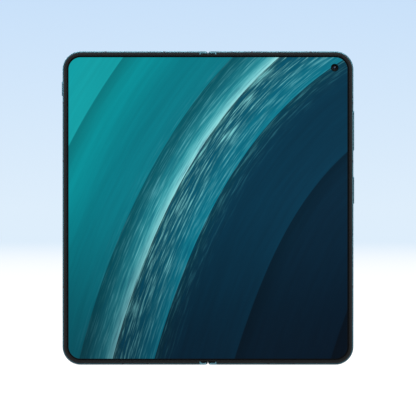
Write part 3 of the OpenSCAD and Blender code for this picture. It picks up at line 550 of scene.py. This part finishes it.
def display_panel(name, bending):
    """Lit display: the wallpaper inside a rounded active area, black ink round it."""
    g = Graph(name)
    where = rest_place(g) if bending else g.place()
    half_x, half_z = float(HALF_W) - ACTIVE_INSET, float(MID_Z) - ACTIVE_INSET
    active = inset(g, where, half_x, half_z, ACTIVE_CORNER)
    lit = g.step(active, -ACTIVE_SOFT, ACTIVE_SOFT)
    g.set(
        Base_Color=srgb(6, 6, 7),
        Roughness=0.09,
        Specular_IOR_Level=0.06,
        Emission_Color=g.mix(lit, srgb(6, 6, 6), folded_ribbons(g, where)),
        Emission_Strength=1.0,
    )
    return g.material


def bezel_film(name, bending):
    """Soft bezel: matt dark film, with a painted highlight along its outer edge, where it is
    warmer and paler.
    """
    g = Graph(name)
    where = rest_place(g) if bending else g.place()
    deep = inset(g, where, float(HALF_W), float(MID_Z), CORNER_R)
    # painted highlight: the first, paler and warmer stop lies along the outer edge
    tone = g.ramp(
        g.math("DIVIDE", deep, BEZEL_W),
        [
            (0.28, srgb(54, 51, 50)),
            (0.46, srgb(37, 37, 37)),
            (0.80, srgb(28, 29, 29)),
            (0.96, srgb(12, 12, 12)),
        ],
    )
    film = g.noise(g.place(), 5000, 3, 0.6)
    g.set(
        Base_Color=g.mix(g.step(film, 0.3, 0.7, 0.0, 0.15), tone, srgb(20, 20, 20)),
        Roughness=g.step(film, 0.2, 0.8, 0.5, 0.62),
        Specular_IOR_Level=0.1,
    )
    g.bump(film, 0.1, 0.01 * MM)
    return g.material


# ---------- surfaces ----------
MERGE_WITHIN = 1e-8


def mesh_object(name, points, faces, material):
    """A mesh object at the origin, with its material."""
    mesh = bpy.data.meshes.new(name)
    mesh.from_pydata(points.reshape(-1, 3).tolist(), [], faces)
    mesh.validate()
    mesh.materials.append(material)
    made = bpy.data.objects.new(name, mesh)
    bpy.context.scene.collection.objects.link(made)
    return made


def sheet_faces(rows, columns, closed):
    """Quads of a grid of rows by columns; closed joins the last column to the first."""
    across = np.arange(columns if closed else columns - 1)
    r, c = np.meshgrid(np.arange(rows - 1), across, indexing="ij")
    here, beside = r * columns + c, r * columns + (c + 1) % columns
    return np.stack([here, beside, beside + columns, here + columns], -1).reshape(-1, 4)


def seam_faces(rows, columns):
    """Quads that join the last row of a ring back to its first."""
    c = np.arange(columns)
    n = (c + 1) % columns
    last = (rows - 1) * columns
    return np.stack([last + c, last + n, n, c], -1)


def tube(name, sections, material, outward=True):
    """A closed body: sections (n, k, 3) are k-sided rings along a path, capped at both ends."""
    count, sides, _ = sections.shape
    faces = sheet_faces(count, sides, True).tolist()
    faces.append(list(range(sides))[::-1])
    faces.append([(count - 1) * sides + i for i in range(sides)])
    if not outward:
        faces = [face[::-1] for face in faces]
    return mesh_object(name, sections, faces, material)


def lathe_points(profile, centre, segments, direction=1.0):
    """Profile (radius, depth) turned about the line along Y through centre.

    At each angle X is the radius times the cosine and Z the radius times the sine; depth
    runs along +Y, or along -Y where direction is -1.
    """
    angle = np.linspace(0, 2 * math.pi, segments, endpoint=False)[None, :]
    radius, depth = profile[:, 0][:, None], profile[:, 1][:, None]
    return np.stack(
        [
            centre[0] + radius * np.cos(angle),
            centre[1] + direction * depth + 0 * angle,
            centre[2] + radius * np.sin(angle),
        ],
        -1,
    )


def turned(name, profile, centre, material, segments=64, direction=1.0):
    """A closed turned body; the profile's first and last points lie on a small cap."""
    points = lathe_points(profile, centre, segments, direction)
    return tube(name, points, material, outward=direction > 0)


def ring(name, profile, centre, material, segments):
    """A closed ring: the profile's last point joins its first."""
    points = lathe_points(profile, centre, segments)
    rows, columns, _ = points.shape
    wrapped = np.concatenate([sheet_faces(rows, columns, True), seam_faces(rows, columns)])
    return mesh_object(name, points, wrapped.tolist(), material)


def smooth(piece, angle=0.6):
    """Smooth shading with edges sharper than angle kept crisp."""
    mesh = piece.data
    mesh.shade_smooth()
    mesh.set_sharp_from_angle(angle=angle)
    return piece


def recalculated(piece):
    """Merges points that coincide and turns the faces outwards, once the shape is final."""
    shape = bmesh.new()
    shape.from_mesh(piece.data)
    bmesh.ops.remove_doubles(shape, verts=shape.verts, dist=MERGE_WITHIN)
    bmesh.ops.recalc_face_normals(shape, faces=shape.faces)
    shape.to_mesh(piece.data)
    shape.free()
    return piece


def keep_flat_place(piece):
    """Stores where each point lies with the phone flat, for patterns on bending pieces."""
    mesh = piece.data
    spots = np.zeros(len(mesh.vertices) * 3, np.float32)
    mesh.vertices.foreach_get("co", spots)
    stored = mesh.attributes.new("flat_place", "FLOAT_VECTOR", "POINT")
    stored.data.foreach_set("vector", spots)
    return piece


def strip_sections(xs, profile):
    """Rings of a (y, z) profile at each x, for a body that runs across the fold."""
    rings = np.empty((len(xs), len(profile), 3))
    rings[..., 0] = xs[:, None]
    rings[..., 1] = profile[:, 0]
    rings[..., 2] = profile[:, 1]
    return rings


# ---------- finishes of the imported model's own nodes ----------
TEAL = srgb(66, 109, 124)
RAIL_TEAL = srgb(84, 124, 135)
HINGE_TEAL = srgb(99, 147, 159)
KEY_TEAL = srgb(60, 104, 120)
STEEL = srgb(176, 180, 184)
RING_GROOVES = 0.35 * MM
BARREL_GROOVES = 0.25 * MM


def dress(name, material):
    """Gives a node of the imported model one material."""
    slots = nodes[name].data.materials
    slots.clear()
    slots.append(material)


finishes = {
    "anodised_frame": (
        blasted_metal("anodised_frame", RAIL_TEAL, 0.36, 0.85),
        ["right_frame", "left_frame"],
    ),
    "satin_caps": (
        blasted_metal("satin_caps", HINGE_TEAL, 0.5, 0.4),
        ["right_hinge_caps", "left_hinge_caps"],
    ),
    "satin_spine": (brushed_metal("satin_spine", TEAL, 0.3), ["spine_cover"]),
    "blasted_keys": (
        blasted_metal("blasted_keys", KEY_TEAL, 0.32),
        ["power_key", "volume_rocker", "card_tray"],
    ),
    "knurled_slider": (
        knurled_metal("knurled_slider", KEY_TEAL, float(corner("alert_slider")[0][0])),
        ["alert_slider"],
    ),
    "band_resin": (
        moulded_resin("band_resin", srgb(40, 68, 78), 0.45),
        ["right_antenna_bands", "left_antenna_bands"],
    ),
    "bezel_film": (bezel_film("bezel_film", False), ["right_bezel", "left_bezel"]),
    "display_panel": (display_panel("display_panel", False), ["right_display", "left_display"]),
    "rear_frosted": (frosted_glass("rear_frosted", srgb(58, 104, 118)), ["rear_glass"]),
    "cover_black": (black_glass("cover_black", srgb(7, 9, 12)), ["cover_glass", "cover_display"]),
    "turned_ring": (
        turned_metal("turned_ring", TEAL, 0.26, middle_of("camera_ring"), RING_GROOVES),
        ["camera_ring"],
    ),
    "island_glass": (black_glass("island_glass", srgb(9, 12, 15), 0.04), ["camera_window"]),
    "battery_foil": (
        wrinkled_foil("battery_foil", srgb(52, 54, 58)),
        ["right_battery", "left_battery"],
    ),
    "board_mask": (
        circuit_board("board_mask", srgb(18, 62, 46), srgb(34, 92, 66)),
        ["main_board", "left_board"],
    ),
    "shield_steel": (
        brushed_metal("shield_steel", srgb(196, 198, 200), 0.38, (300, 300, 300)),
        ["board_shields", "key_switches", "card_reader", "slider_switch", "vibration_motor"],
    ),
    "socket_steel": (brushed_metal("socket_steel", srgb(150, 156, 162), 0.28), ["usb_c_socket"]),
    "speaker_resin": (
        moulded_resin("speaker_resin", srgb(34, 36, 39), 0.55),
        ["loudspeaker", "earpiece"],
    ),
    "hinge_steel": (
        brushed_metal("hinge_steel", STEEL, 0.27, (700, 700, 60)),
        [
            "right_swing_arms", "left_swing_arms", "right_arm_screws", "left_arm_screws",
            "hinge_bases", "hinge_pins", "idler_pins", "disc_springs", "centre_support",
            "right_support_plate", "left_support_plate", "right_idler_gears", "left_idler_gears",
        ],
    ),
    "magnet_nickel": (
        brushed_metal("magnet_nickel", srgb(168, 170, 172), 0.2, (200, 200, 200)),
        ["right_magnets", "left_magnets"],
    ),
    "barrel_black": (
        moulded_resin("barrel_black", srgb(9, 10, 11), 0.5, 6000, 0.1, 0.08),
        ["inner_camera", "cover_camera"],
    ),
}
for material, names in finishes.values():
    for name in names:
        dress(name, material)

DARK_METAL = srgb(30, 33, 37)
for name in ("wide_camera", "ultrawide_camera", "telephoto_camera"):
    centre = middle_of(name)
    dress(name, turned_metal(f"{name}_barrel", DARK_METAL, 0.3, centre, BARREL_GROOVES, 0.8))


# ---------- the display and its bezel across the fold ------
BEND_FROM = corner("right_hinge_caps")[1][0]
EDGE_X = corner("right_display")[0][0]
STEPS = 40
BEZEL_INNER = 2.3 * MM
BEZEL_ROUND = 0.12 * MM
BEZEL_OVERLAP = 0.03 * MM


def upper_end(outline):
    """Mirrors an outline at the lower end to the upper end; its second column is Z."""
    return np.stack([outline[:, 0], BODY_H - outline[:, 1]], -1)


# sections across the fold, carried along X: the display's is a rectangle, and the bezel's
# is one whose two front edges are quarter turns of radius BEZEL_ROUND
(_, y0, z0), (_, y1, z1) = corner("bending_display")
display_side = np.array([[y0, z0], [y0, z1], [y1, z1], [y1, z0]])

(_, front, outer), (_, back, _) = corner("bending_bezel")
arc = np.linspace(0, math.pi / 2, 6)
rise, fall = BEZEL_ROUND * (1 - np.cos(arc)), BEZEL_ROUND * (1 - np.sin(arc))
outer_round = np.stack([front + fall, outer + rise], -1)
inner_round = np.stack([front + rise, BEZEL_INNER - fall], -1)
bezel_side = np.concatenate([[[back, outer]], outer_round, inner_round, [[back, BEZEL_INNER]]])

bending_glass = display_panel("bending_glass", True)
bending_film = bezel_film("bending_film", True)
for half, sign in SIGN.items():
    xs = sign * np.linspace(0, EDGE_X, STEPS)
    strip = tube(f"{half}_bend", strip_sections(xs, display_side), bending_glass)
    recalculated(strip)
    keep_flat_place(strip)
    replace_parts(strip, "bending_display")
    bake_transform(strip)

    xs = sign * np.linspace(0, BEND_FROM + BEZEL_OVERLAP, STEPS)
    for end, profile in (("lower", bezel_side), ("upper", upper_end(bezel_side))):
        lip = tube(f"{half}_{end}_bezel_bend", strip_sections(xs, profile), bending_film)
        recalculated(lip)
        smooth(lip)
        keep_flat_place(lip)
        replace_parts(lip, "bending_bezel")
        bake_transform(lip)


# ---------- the ribbon under the hinge ----------
# Each half is a strip FLEX_T thick. It lies deepest from the fold line to FLEX_DEEP, then
# comes forward by a smooth step to the level that it keeps from FLEX_FLAT on.
flex_low, flex_high = corner("hinge_flex")
FLEX_T = 0.12 * MM
FLEX_DEEP = 1.6 * MM
FLEX_FLAT = 6.9 * MM
ribbon_finish = ribbon_film("ribbon_polyimide", srgb(150, 96, 38), srgb(196, 142, 74))
for half, sign in SIGN.items():
    run = np.linspace(0, flex_high[0], STEPS)
    rise = np.clip((run - FLEX_DEEP) / (FLEX_FLAT - FLEX_DEEP), 0, 1)
    rise = rise * rise * (3 - 2 * rise)
    top = (flex_high[1] - FLEX_T) * (1 - rise) + flex_low[1] * rise
    rings = np.empty((STEPS, 4, 3))
    rings[..., 0] = sign * run[:, None]
    rings[..., 1] = top[:, None] + FLEX_T * np.array([0, 0, 1, 1])
    rings[..., 2] = np.array([flex_low[2], flex_high[2], flex_high[2], flex_low[2]])
    ribbon = recalculated(tube(f"{half}_hinge_ribbon", rings, ribbon_finish))
    smooth(ribbon)
    keep_flat_place(ribbon)
    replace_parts(ribbon, "hinge_flex")
    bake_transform(ribbon)


# ---------- painted shade: dark strips on the hinge caps, and dark fins between them ---
SHADE_STRIP_W = 0.6 * MM
SHADE_STRIP_T = 0.05 * MM
SHADE_STRIP_BED = 0.01 * MM
SHADE_STRIP_REACH = 3.6 * MM
SHADE_STRIP_TAPER = 0.5 * MM
SHADE_STRIP_TIP = 0.0004
CAP_GAP = 0.03 * MM
FIN_T = 0.16 * MM
FIN_LEVELS = np.array([-1.1, -1.06, 0.46, 0.5]) * MM
FIN_WIDTHS = np.array([0.6, 1.0, 1.0, 0.6])
# painted shade: near-black rubber for the strips on the caps and the fins between them, which
# stand for the shade in the gap between the caps and the bezel
painted_shade_rubber = moulded_resin("painted_shade_rubber", srgb(12, 12, 12), 0.6, 5000, 0.1, 0.08)


def shade_strip_sections(axis, face_y, inner_z, outward):
    """Rings of a strip along the front of a cap: flat to the fold axis, then round the barrel.

    The path is a line from the far end to the axis and a quarter turn about it; at each
    point the ring is a rectangle SHADE_STRIP_W wide, and over the last SHADE_STRIP_TAPER before the
    far end it narrows as an ellipse does, almost to nothing.
    """
    radius = axis[1] - face_y
    flat = np.linspace(SHADE_STRIP_REACH, axis[0], 14, endpoint=False)
    turn = np.linspace(0, math.pi / 2, 24)
    sections = []
    for proud in (-SHADE_STRIP_BED, SHADE_STRIP_T):
        along = np.stack([flat, np.full(len(flat), face_y - proud)], -1)
        r = radius + proud
        barrel = np.stack([axis[0] - r * np.sin(turn), axis[1] - r * np.cos(turn)], -1)
        sections.append(np.concatenate([along, barrel]))
    under, over = sections
    share = np.clip((SHADE_STRIP_REACH - over[:, 0]) / SHADE_STRIP_TAPER, SHADE_STRIP_TIP, 1)
    width = SHADE_STRIP_W * np.sqrt(share * (2 - share))
    rings = np.empty((len(over), 4, 3))
    rings[:, 0, :2], rings[:, 1, :2] = under, under
    rings[:, 2, :2], rings[:, 3, :2] = over, over
    rings[:, :, 2] = inner_z
    rings[:, 1:3, 2] = (inner_z + outward * width)[:, None]
    return rings


CAPS_Y = corner("right_hinge_caps")[0][1]
CAP_EDGE = corner("bending_bezel")[0][2] - CAP_GAP
for half, sign in SIGN.items():
    for end, inner_z, outward in (("lower", CAP_EDGE, -1), ("upper", BODY_H - CAP_EDGE, 1)):
        rings = shade_strip_sections(FOLD_AXIS, CAPS_Y, inner_z, outward)
        rings[..., 0] *= sign
        shade_strip = recalculated(tube(f"{half}_{end}_cap_shade_strip", rings, painted_shade_rubber))
        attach(smooth(shade_strip), f"{half}_half")

# painted shade: a thin dark upright fin on the spine at each end, round at the tip, that darkens
# the gap between the caps
half_turn = np.linspace(0, math.pi, 9)
fin_r, fin_tip, fin_root = FIN_T / 2, CAP_EDGE - SHADE_STRIP_W, corner("spine_cover")[0][2]
nose = np.stack([fin_r * np.cos(half_turn), fin_tip + fin_r - fin_r * np.sin(half_turn)], -1)
fin_plan = np.concatenate([nose, [[-fin_r, fin_root], [fin_r, fin_root]]])
for end, outline in (("lower", fin_plan), ("upper", upper_end(fin_plan))):
    rings = np.empty((len(FIN_LEVELS), len(outline), 3))
    rings[..., 0] = outline[:, 0] * FIN_WIDTHS[:, None]
    rings[..., 1] = (FOLD_AXIS[1] + FIN_LEVELS)[:, None]
    rings[..., 2] = outline[:, 1]
    fin = recalculated(tube(f"{end}_gap_shade_fin", rings, painted_shade_rubber))
    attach(smooth(fin), "spine")


# ---------- lenses and the flash ----------
POLE_R = 0.002 * MM
LENS_WELL = 1.4 * MM
LENS_SAG = 0.6 * MM
LENS_SKIRT = 0.02 * MM
LENS_LIFT = 0.05 * MM
LENS_SHARE = 0.94
TRIM_R = 5.04 * MM
BEAD_W = 0.13 * MM
BEAD_H = 0.06 * MM


def dome(radius, sag, skirt, points=20):
    """Profile of a lens cap: an arc of the given base radius and height on a short skirt."""
    sphere = (radius * radius + sag * sag) / (2 * sag)
    r = np.linspace(radius, POLE_R, points)
    arc = np.sqrt(sphere * sphere - r * r) - (sphere - sag)
    return np.concatenate([[[POLE_R, -skirt], [radius, -skirt]], np.stack([r, arc], -1)])


# rear lenses: each has a domed cap down its well, painted with reflections of its coating in
# its tint, and round the top of its barrel a bead, a small ellipse turned about the lens's axis
trim_metal = blasted_metal("lens_trim", srgb(112, 158, 172), 0.18)
bead_turn = np.linspace(0, 2 * math.pi, 10, endpoint=False)
bead = np.stack([TRIM_R + BEAD_W * np.cos(bead_turn), BEAD_H * np.sin(bead_turn)], -1)
for name, glass_r, tint in (
    ("wide", 3.0 * MM, srgb(92, 66, 190)),
    ("ultrawide", 2.4 * MM, srgb(30, 120, 160)),
    ("telephoto", 2.7 * MM, srgb(34, 140, 104)),
):
    centre = face_middle(f"{name}_camera", 1)
    in_well = centre - [0, LENS_WELL - LENS_LIFT, 0]
    coat = coated_lens(f"{name}_coat", centre, glass_r, tint)
    cap = dome(glass_r * LENS_SHARE, LENS_SAG, LENS_SKIRT)
    glass = turned(f"{name}_lens", cap[::-1], in_well, coat, 72)
    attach(smooth(recalculated(glass)), "right_half")
    trim = ring(f"{name}_trim", bead, centre, trim_metal, 96)
    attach(smooth(recalculated(trim), 3.0), "right_half")

# flash: a saw of shallow rings across the front of a clear disc
GROOVES, GROOVE_POINTS = 7, 4
GROOVE_DEEP = 0.09 * MM
FLASH_RIM = 0.12 * MM
FLASH_EDGE = 0.08 * MM
flash_low, flash_high = corner("flash_lens")
flash_r = (flash_high[0] - flash_low[0]) / 2
flash_back = flash_low[1] - flash_high[1]
flash_side = np.array(
    [
        [POLE_R, flash_back],
        [flash_r, flash_back],
        [flash_r, -FLASH_EDGE],
        [flash_r - FLASH_EDGE, 0.0],
    ]
)
ridge = np.arange(GROOVES * GROOVE_POINTS)
saw = (ridge % GROOVE_POINTS) / (GROOVE_POINTS - 1) * GROOVE_DEEP
fresnel = np.stack([np.linspace(flash_r - FLASH_RIM, POLE_R, len(ridge)), -saw], -1)
flash_profile = np.concatenate([flash_side, fresnel])[::-1]
flash_at, flash_resin = face_middle("flash_lens", 1), flash_glass("flash_resin")
flash = turned("flash_fresnel", flash_profile, flash_at, flash_resin, 64)
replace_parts(recalculated(flash), "flash_lens")
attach(flash, "right_half")

# inner camera: one small lens that faces the same way as the display, painted with a bluish
# reflection and a dark pupil of painted shade
INNER_LENS_R = 0.68 * MM
INNER_LENS_AT = 0.42 * MM
INNER_LENS_SAG = 0.38 * MM
INNER_LENS_SKIRT = 0.05 * MM
spot = face_middle("inner_camera", 0, INNER_LENS_AT)
inner_coat = coated_lens("inner_coat", spot, INNER_LENS_R, srgb(66, 86, 120), 0.3, 0.15)
inner_cap = dome(INNER_LENS_R, INNER_LENS_SAG, INNER_LENS_SKIRT)
pupil = turned("inner_lens", inner_cap, spot, inner_coat, 48, -1.0)
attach(smooth(recalculated(pupil)), "right_half")


# ---------- speaker mesh and the socket's contacts ----------
WEAVE_PITCH = 0.16 * MM
DISC_SKIRT = 0.1 * MM
# share of the radius and share of the crown at each ring of a disc
DISC_RINGS = ((1.0, 0.0), (0.66, 0.6), (0.33, 0.9), (0.01, 1.0))


def acoustic_mesh(name):
    """Woven metal mesh: a fine diagonal grid of openings, painted near-black as the shade behind
    them.
    """
    g = Graph(name)
    x, y, _ = g.split(g.place())
    turns = 2 * math.pi / WEAVE_PITCH
    waves = [
        g.math("SINE", g.math("MULTIPLY", g.math(side, x, y), turns))
        for side in ("ADD", "SUBTRACT")
    ]
    # painted shade: the openings are near-black for the shade in the chamber behind the mesh
    hole = g.step(g.math("MULTIPLY", waves[0], waves[1]), 0.0, 0.5)
    g.set(Base_Color=g.mix(hole, srgb(62, 66, 70), srgb(4, 4, 5)), Metallic=0.6, Roughness=0.45)
    g.bump(hole, 0.5, 0.04 * MM)
    return g.material


def discs(name, centres, radius, crown, material, up):
    """Shallow domed discs across Z, one at each centre, in one mesh; up is 1 or -1.

    Each disc is a stack of circles about its centre that shrink as they rise to the
    crown, by the shares of DISC_RINGS, on a short skirt.
    """
    count, segments = len(centres), 24
    angle = np.linspace(0, 2 * math.pi, segments, endpoint=False)
    layers = []
    for share, rise in DISC_RINGS:
        layer = np.empty((count, segments, 3))
        layer[..., 0] = centres[:, 0, None] + radius * share * np.cos(angle)
        layer[..., 1] = centres[:, 1, None] + radius * share * np.sin(angle)
        layer[..., 2] = centres[:, 2, None] + up * crown * rise
        layers.append(layer)
    under = layers[0] - [0, 0, up * DISC_SKIRT]
    points = np.stack([under] + layers, 1)
    rows = points.shape[1]
    quads = sheet_faces(rows, segments, True)
    offset = np.arange(count)[:, None, None] * rows * segments
    faces = (quads[None] + offset).reshape(-1, 4).tolist()
    caps = np.arange(segments)[None] + np.arange(count)[:, None] * rows * segments
    tops = caps + (rows - 1) * segments
    return recalculated(mesh_object(name, points, faces + caps.tolist() + tops.tolist(), material))


def boxes(name, lows, highs, material):
    """Axis-aligned plates in one mesh, from their lowest and highest corners."""
    pick = np.array([[x, y, z] for x in (0, 1) for y in (0, 1) for z in (0, 1)])
    points = np.where(pick[None], highs[:, None], lows[:, None])
    sides = np.array(
        [[0, 1, 3, 2], [4, 6, 7, 5], [0, 4, 5, 1], [2, 3, 7, 6], [0, 2, 6, 4], [1, 5, 7, 3]]
    )
    faces = (sides[None] + np.arange(len(lows))[:, None, None] * 8).reshape(-1, 4)
    return recalculated(mesh_object(name, points, faces.tolist(), material))


def row_along_x(xs, y, z):
    """Points at each x, all at one Y and one Z."""
    return np.stack([xs, np.full(len(xs), y), np.full(len(xs), z)], -1)


def centred(count):
    """Steps of a row of count, counted from its middle."""
    return np.arange(count) - (count - 1) / 2


SOCKET_T = 3.26 * MM
SOCKET_X, SOCKET_BACK, _ = face_middle("usb_c_socket", 1)
HOLE_Y = SOCKET_BACK - SOCKET_T / 2
SPEAKER_FIRST, SPEAKER_PITCH, SPEAKER_HOLES = 13 * MM, 2.6 * MM, 6
EARPIECE_X, EARPIECE_PITCH, EARPIECE_HOLES = -27.45 * MM, 2.2 * MM, 4
MESH_R = 0.64 * MM
MESH_CROWN = 0.12 * MM
MESH_DEPTH = 0.7 * MM
mesh_finish = acoustic_mesh("acoustic_mesh")
speaker_xs = SOCKET_X + SPEAKER_FIRST + SPEAKER_PITCH * np.arange(SPEAKER_HOLES)
earpiece_xs = EARPIECE_X - EARPIECE_PITCH * centred(EARPIECE_HOLES)
for name, body, xs, level, up in (
    ("loudspeaker_mesh", "right_half", speaker_xs, MESH_DEPTH, -1.0),
    ("earpiece_mesh", "left_half", earpiece_xs, BODY_H - MESH_DEPTH, 1.0),
):
    spots = row_along_x(xs, HOLE_Y, level)
    woven = discs(name, spots, MESH_R, MESH_CROWN, mesh_finish, up)
    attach(smooth(woven), body)

# a row of flat contacts on each face of the socket's tongue
CONTACTS, CONTACT_PITCH, CONTACT_W = 12, 0.5 * MM, 0.26 * MM
CONTACT_BED, CONTACT_PROUD = 0.01 * MM, 0.03 * MM
CONTACT_TIP, CONTACT_ROOT = 1.5 * MM, 4.6 * MM
TONGUE_HALF_T = 0.35 * MM
gold = brushed_metal("contact_gold", srgb(212, 175, 96), 0.22, (200, 200, 40))
across = SOCKET_X + centred(CONTACTS) * CONTACT_PITCH
lows, highs = [], []
for side in (-1, 1):
    face = HOLE_Y + side * TONGUE_HALF_T
    band = sorted((face - side * CONTACT_BED, face + side * CONTACT_PROUD))
    lows.append(row_along_x(across - CONTACT_W / 2, band[0], CONTACT_TIP))
    highs.append(row_along_x(across + CONTACT_W / 2, band[1], CONTACT_ROOT))
pads = boxes("usb_contacts", np.concatenate(lows), np.concatenate(highs), gold)
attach(pads, "right_half")


# ---------- camera, floor, sky and lights ----------
scene = bpy.context.scene
LENS = 500.0
SENSOR = 36.0
# width of the view in the plane of the bezel's face
FRAME_WIDTH = 203.86 * MM
distance = FRAME_WIDTH * LENS / SENSOR

camera_data = bpy.data.cameras.new("camera")
camera_data.lens, camera_data.sensor_width = LENS, SENSOR
camera_data.clip_start, camera_data.clip_end = 0.1, 100
camera = bpy.data.objects.new("camera", camera_data)
camera.location = (0, FACE_Y - distance, float(MID_Z))
camera.rotation_euler = (math.pi / 2, 0, 0)
scene.collection.objects.link(camera)
scene.camera = camera
scene.view_settings.view_transform = "Standard"

SKY_LOW, SKY_HIGH, PAPER = srgb(222, 238, 252), srgb(201, 225, 250), (1.0, 1.0, 1.0, 1)
SKY_TURNS = 0.036
ROOM_TURNS = (-0.2, 0.5)
ROOM_LIGHT = (0.36, 0.68)
FLOOR_GLOW = 0.15
FLOOR_TURNS = (2.0, 11.0)
FLOOR_SIDES = 96


def floor_paper():
    """White studio paper that turns pale blue between the two distances FLOOR_TURNS.

    It is at full strength as seen by the camera and gives only the share FLOOR_GLOW of
    that light to the phone.
    """
    g = Graph("floor_paper")
    x, y, _ = g.split(g.place())
    away = g.hypot(x, y)
    far = g.step(away, *FLOOR_TURNS)
    g.set(Base_Color=g.mix(far, (0.1, 0.1, 0.1, 1), (0, 0, 0, 1)), Roughness=0.9)
    seen = g.node("ShaderNodeLightPath").outputs["Is Camera Ray"]
    g.set(Emission_Color=g.mix(far, PAPER, SKY_LOW), Specular_IOR_Level=0.0)
    g.set(Emission_Strength=g.math("MULTIPLY_ADD", seen, 1.0 - FLOOR_GLOW, FLOOR_GLOW))
    return g.material


# the floor: circles of growing radius in one plane, the smallest closed by a face
rim = np.linspace(0, 2 * math.pi, FLOOR_SIDES, endpoint=False)
radii = np.array([0.001, 0.3, 1.0, 3.0, 12.0, 90.0])[:, None]
ground = np.stack([radii * np.cos(rim), radii * np.sin(rim), 0 * radii * rim], -1)
floor_faces = sheet_faces(len(radii), FLOOR_SIDES, True)[:, ::-1].tolist()
floor_faces.append(list(range(FLOOR_SIDES)))
floor = mesh_object("floor", ground, floor_faces, floor_paper())
floor.location = (0, 0, cad_low[2])
recalculated(floor)


class Sky(Graph):
    """The same short names for the nodes of a new world."""

    def __init__(self, name):
        self.world = bpy.data.worlds.new(name)
        self.world.use_nodes = True
        self.tree = self.world.node_tree
        self.shader = self.tree.nodes["Background"]

    def span(self, value, low, high, out_low, out_high):
        """Straight run from out_low to out_high as value goes from low to high."""
        made = self.node("ShaderNodeMapRange")
        for socket, number in zip(made.inputs, (value, low, high, out_low, out_high)):
            self.feed(socket, number)
        return made.outputs[0]


# the sky is paler at the horizon; as a light it is dimmer than to the camera, most so in front
sky = Sky("studio")
scene.world = sky.world
_, ahead, up = sky.split(sky.node("ShaderNodeTexCoord").outputs["Generated"])
height = sky.span(up, 0.0, SKY_TURNS, 0.0, 1.0)
room = sky.span(ahead, *ROOM_TURNS, *ROOM_LIGHT)
seen = sky.node("ShaderNodeLightPath").outputs["Is Camera Ray"]
sky.set(Color=sky.mix(height, SKY_LOW, SKY_HIGH), Strength=sky.span(seen, 0.0, 1.0, room, 1.0))


def soft_light(name, place, aim, size, watts, colour=(1, 1, 1)):
    """A rectangular soft box at place, turned towards aim."""
    lamp = bpy.data.lights.new(name, "AREA")
    lamp.shape, lamp.size, lamp.size_y = "RECTANGLE", size[0], size[1]
    lamp.energy, lamp.color = watts, colour
    holder = bpy.data.objects.new(name, lamp)
    holder.location = place
    holder.rotation_mode = "QUATERNION"
    holder.rotation_quaternion = (Vector(aim) - Vector(place)).to_track_quat("-Z", "Y")
    scene.collection.objects.link(holder)


PHONE_AT = (0, 0, float(MID_Z))
COOL = (0.96, 0.99, 1)
soft_light("key_above", (0.1, -0.5, 0.95), PHONE_AT, (1.1, 0.5), 13)
soft_light("left_strip", (-1.0, -0.35, 0.25), PHONE_AT, (0.3, 0.9), 4.5, COOL)
soft_light("right_strip", (1.0, -0.35, 0.25), PHONE_AT, (0.3, 0.9), 6, COOL)
soft_light("back_above", (-0.5, 0.9, 0.5), PHONE_AT, (1.0, 0.6), 9)
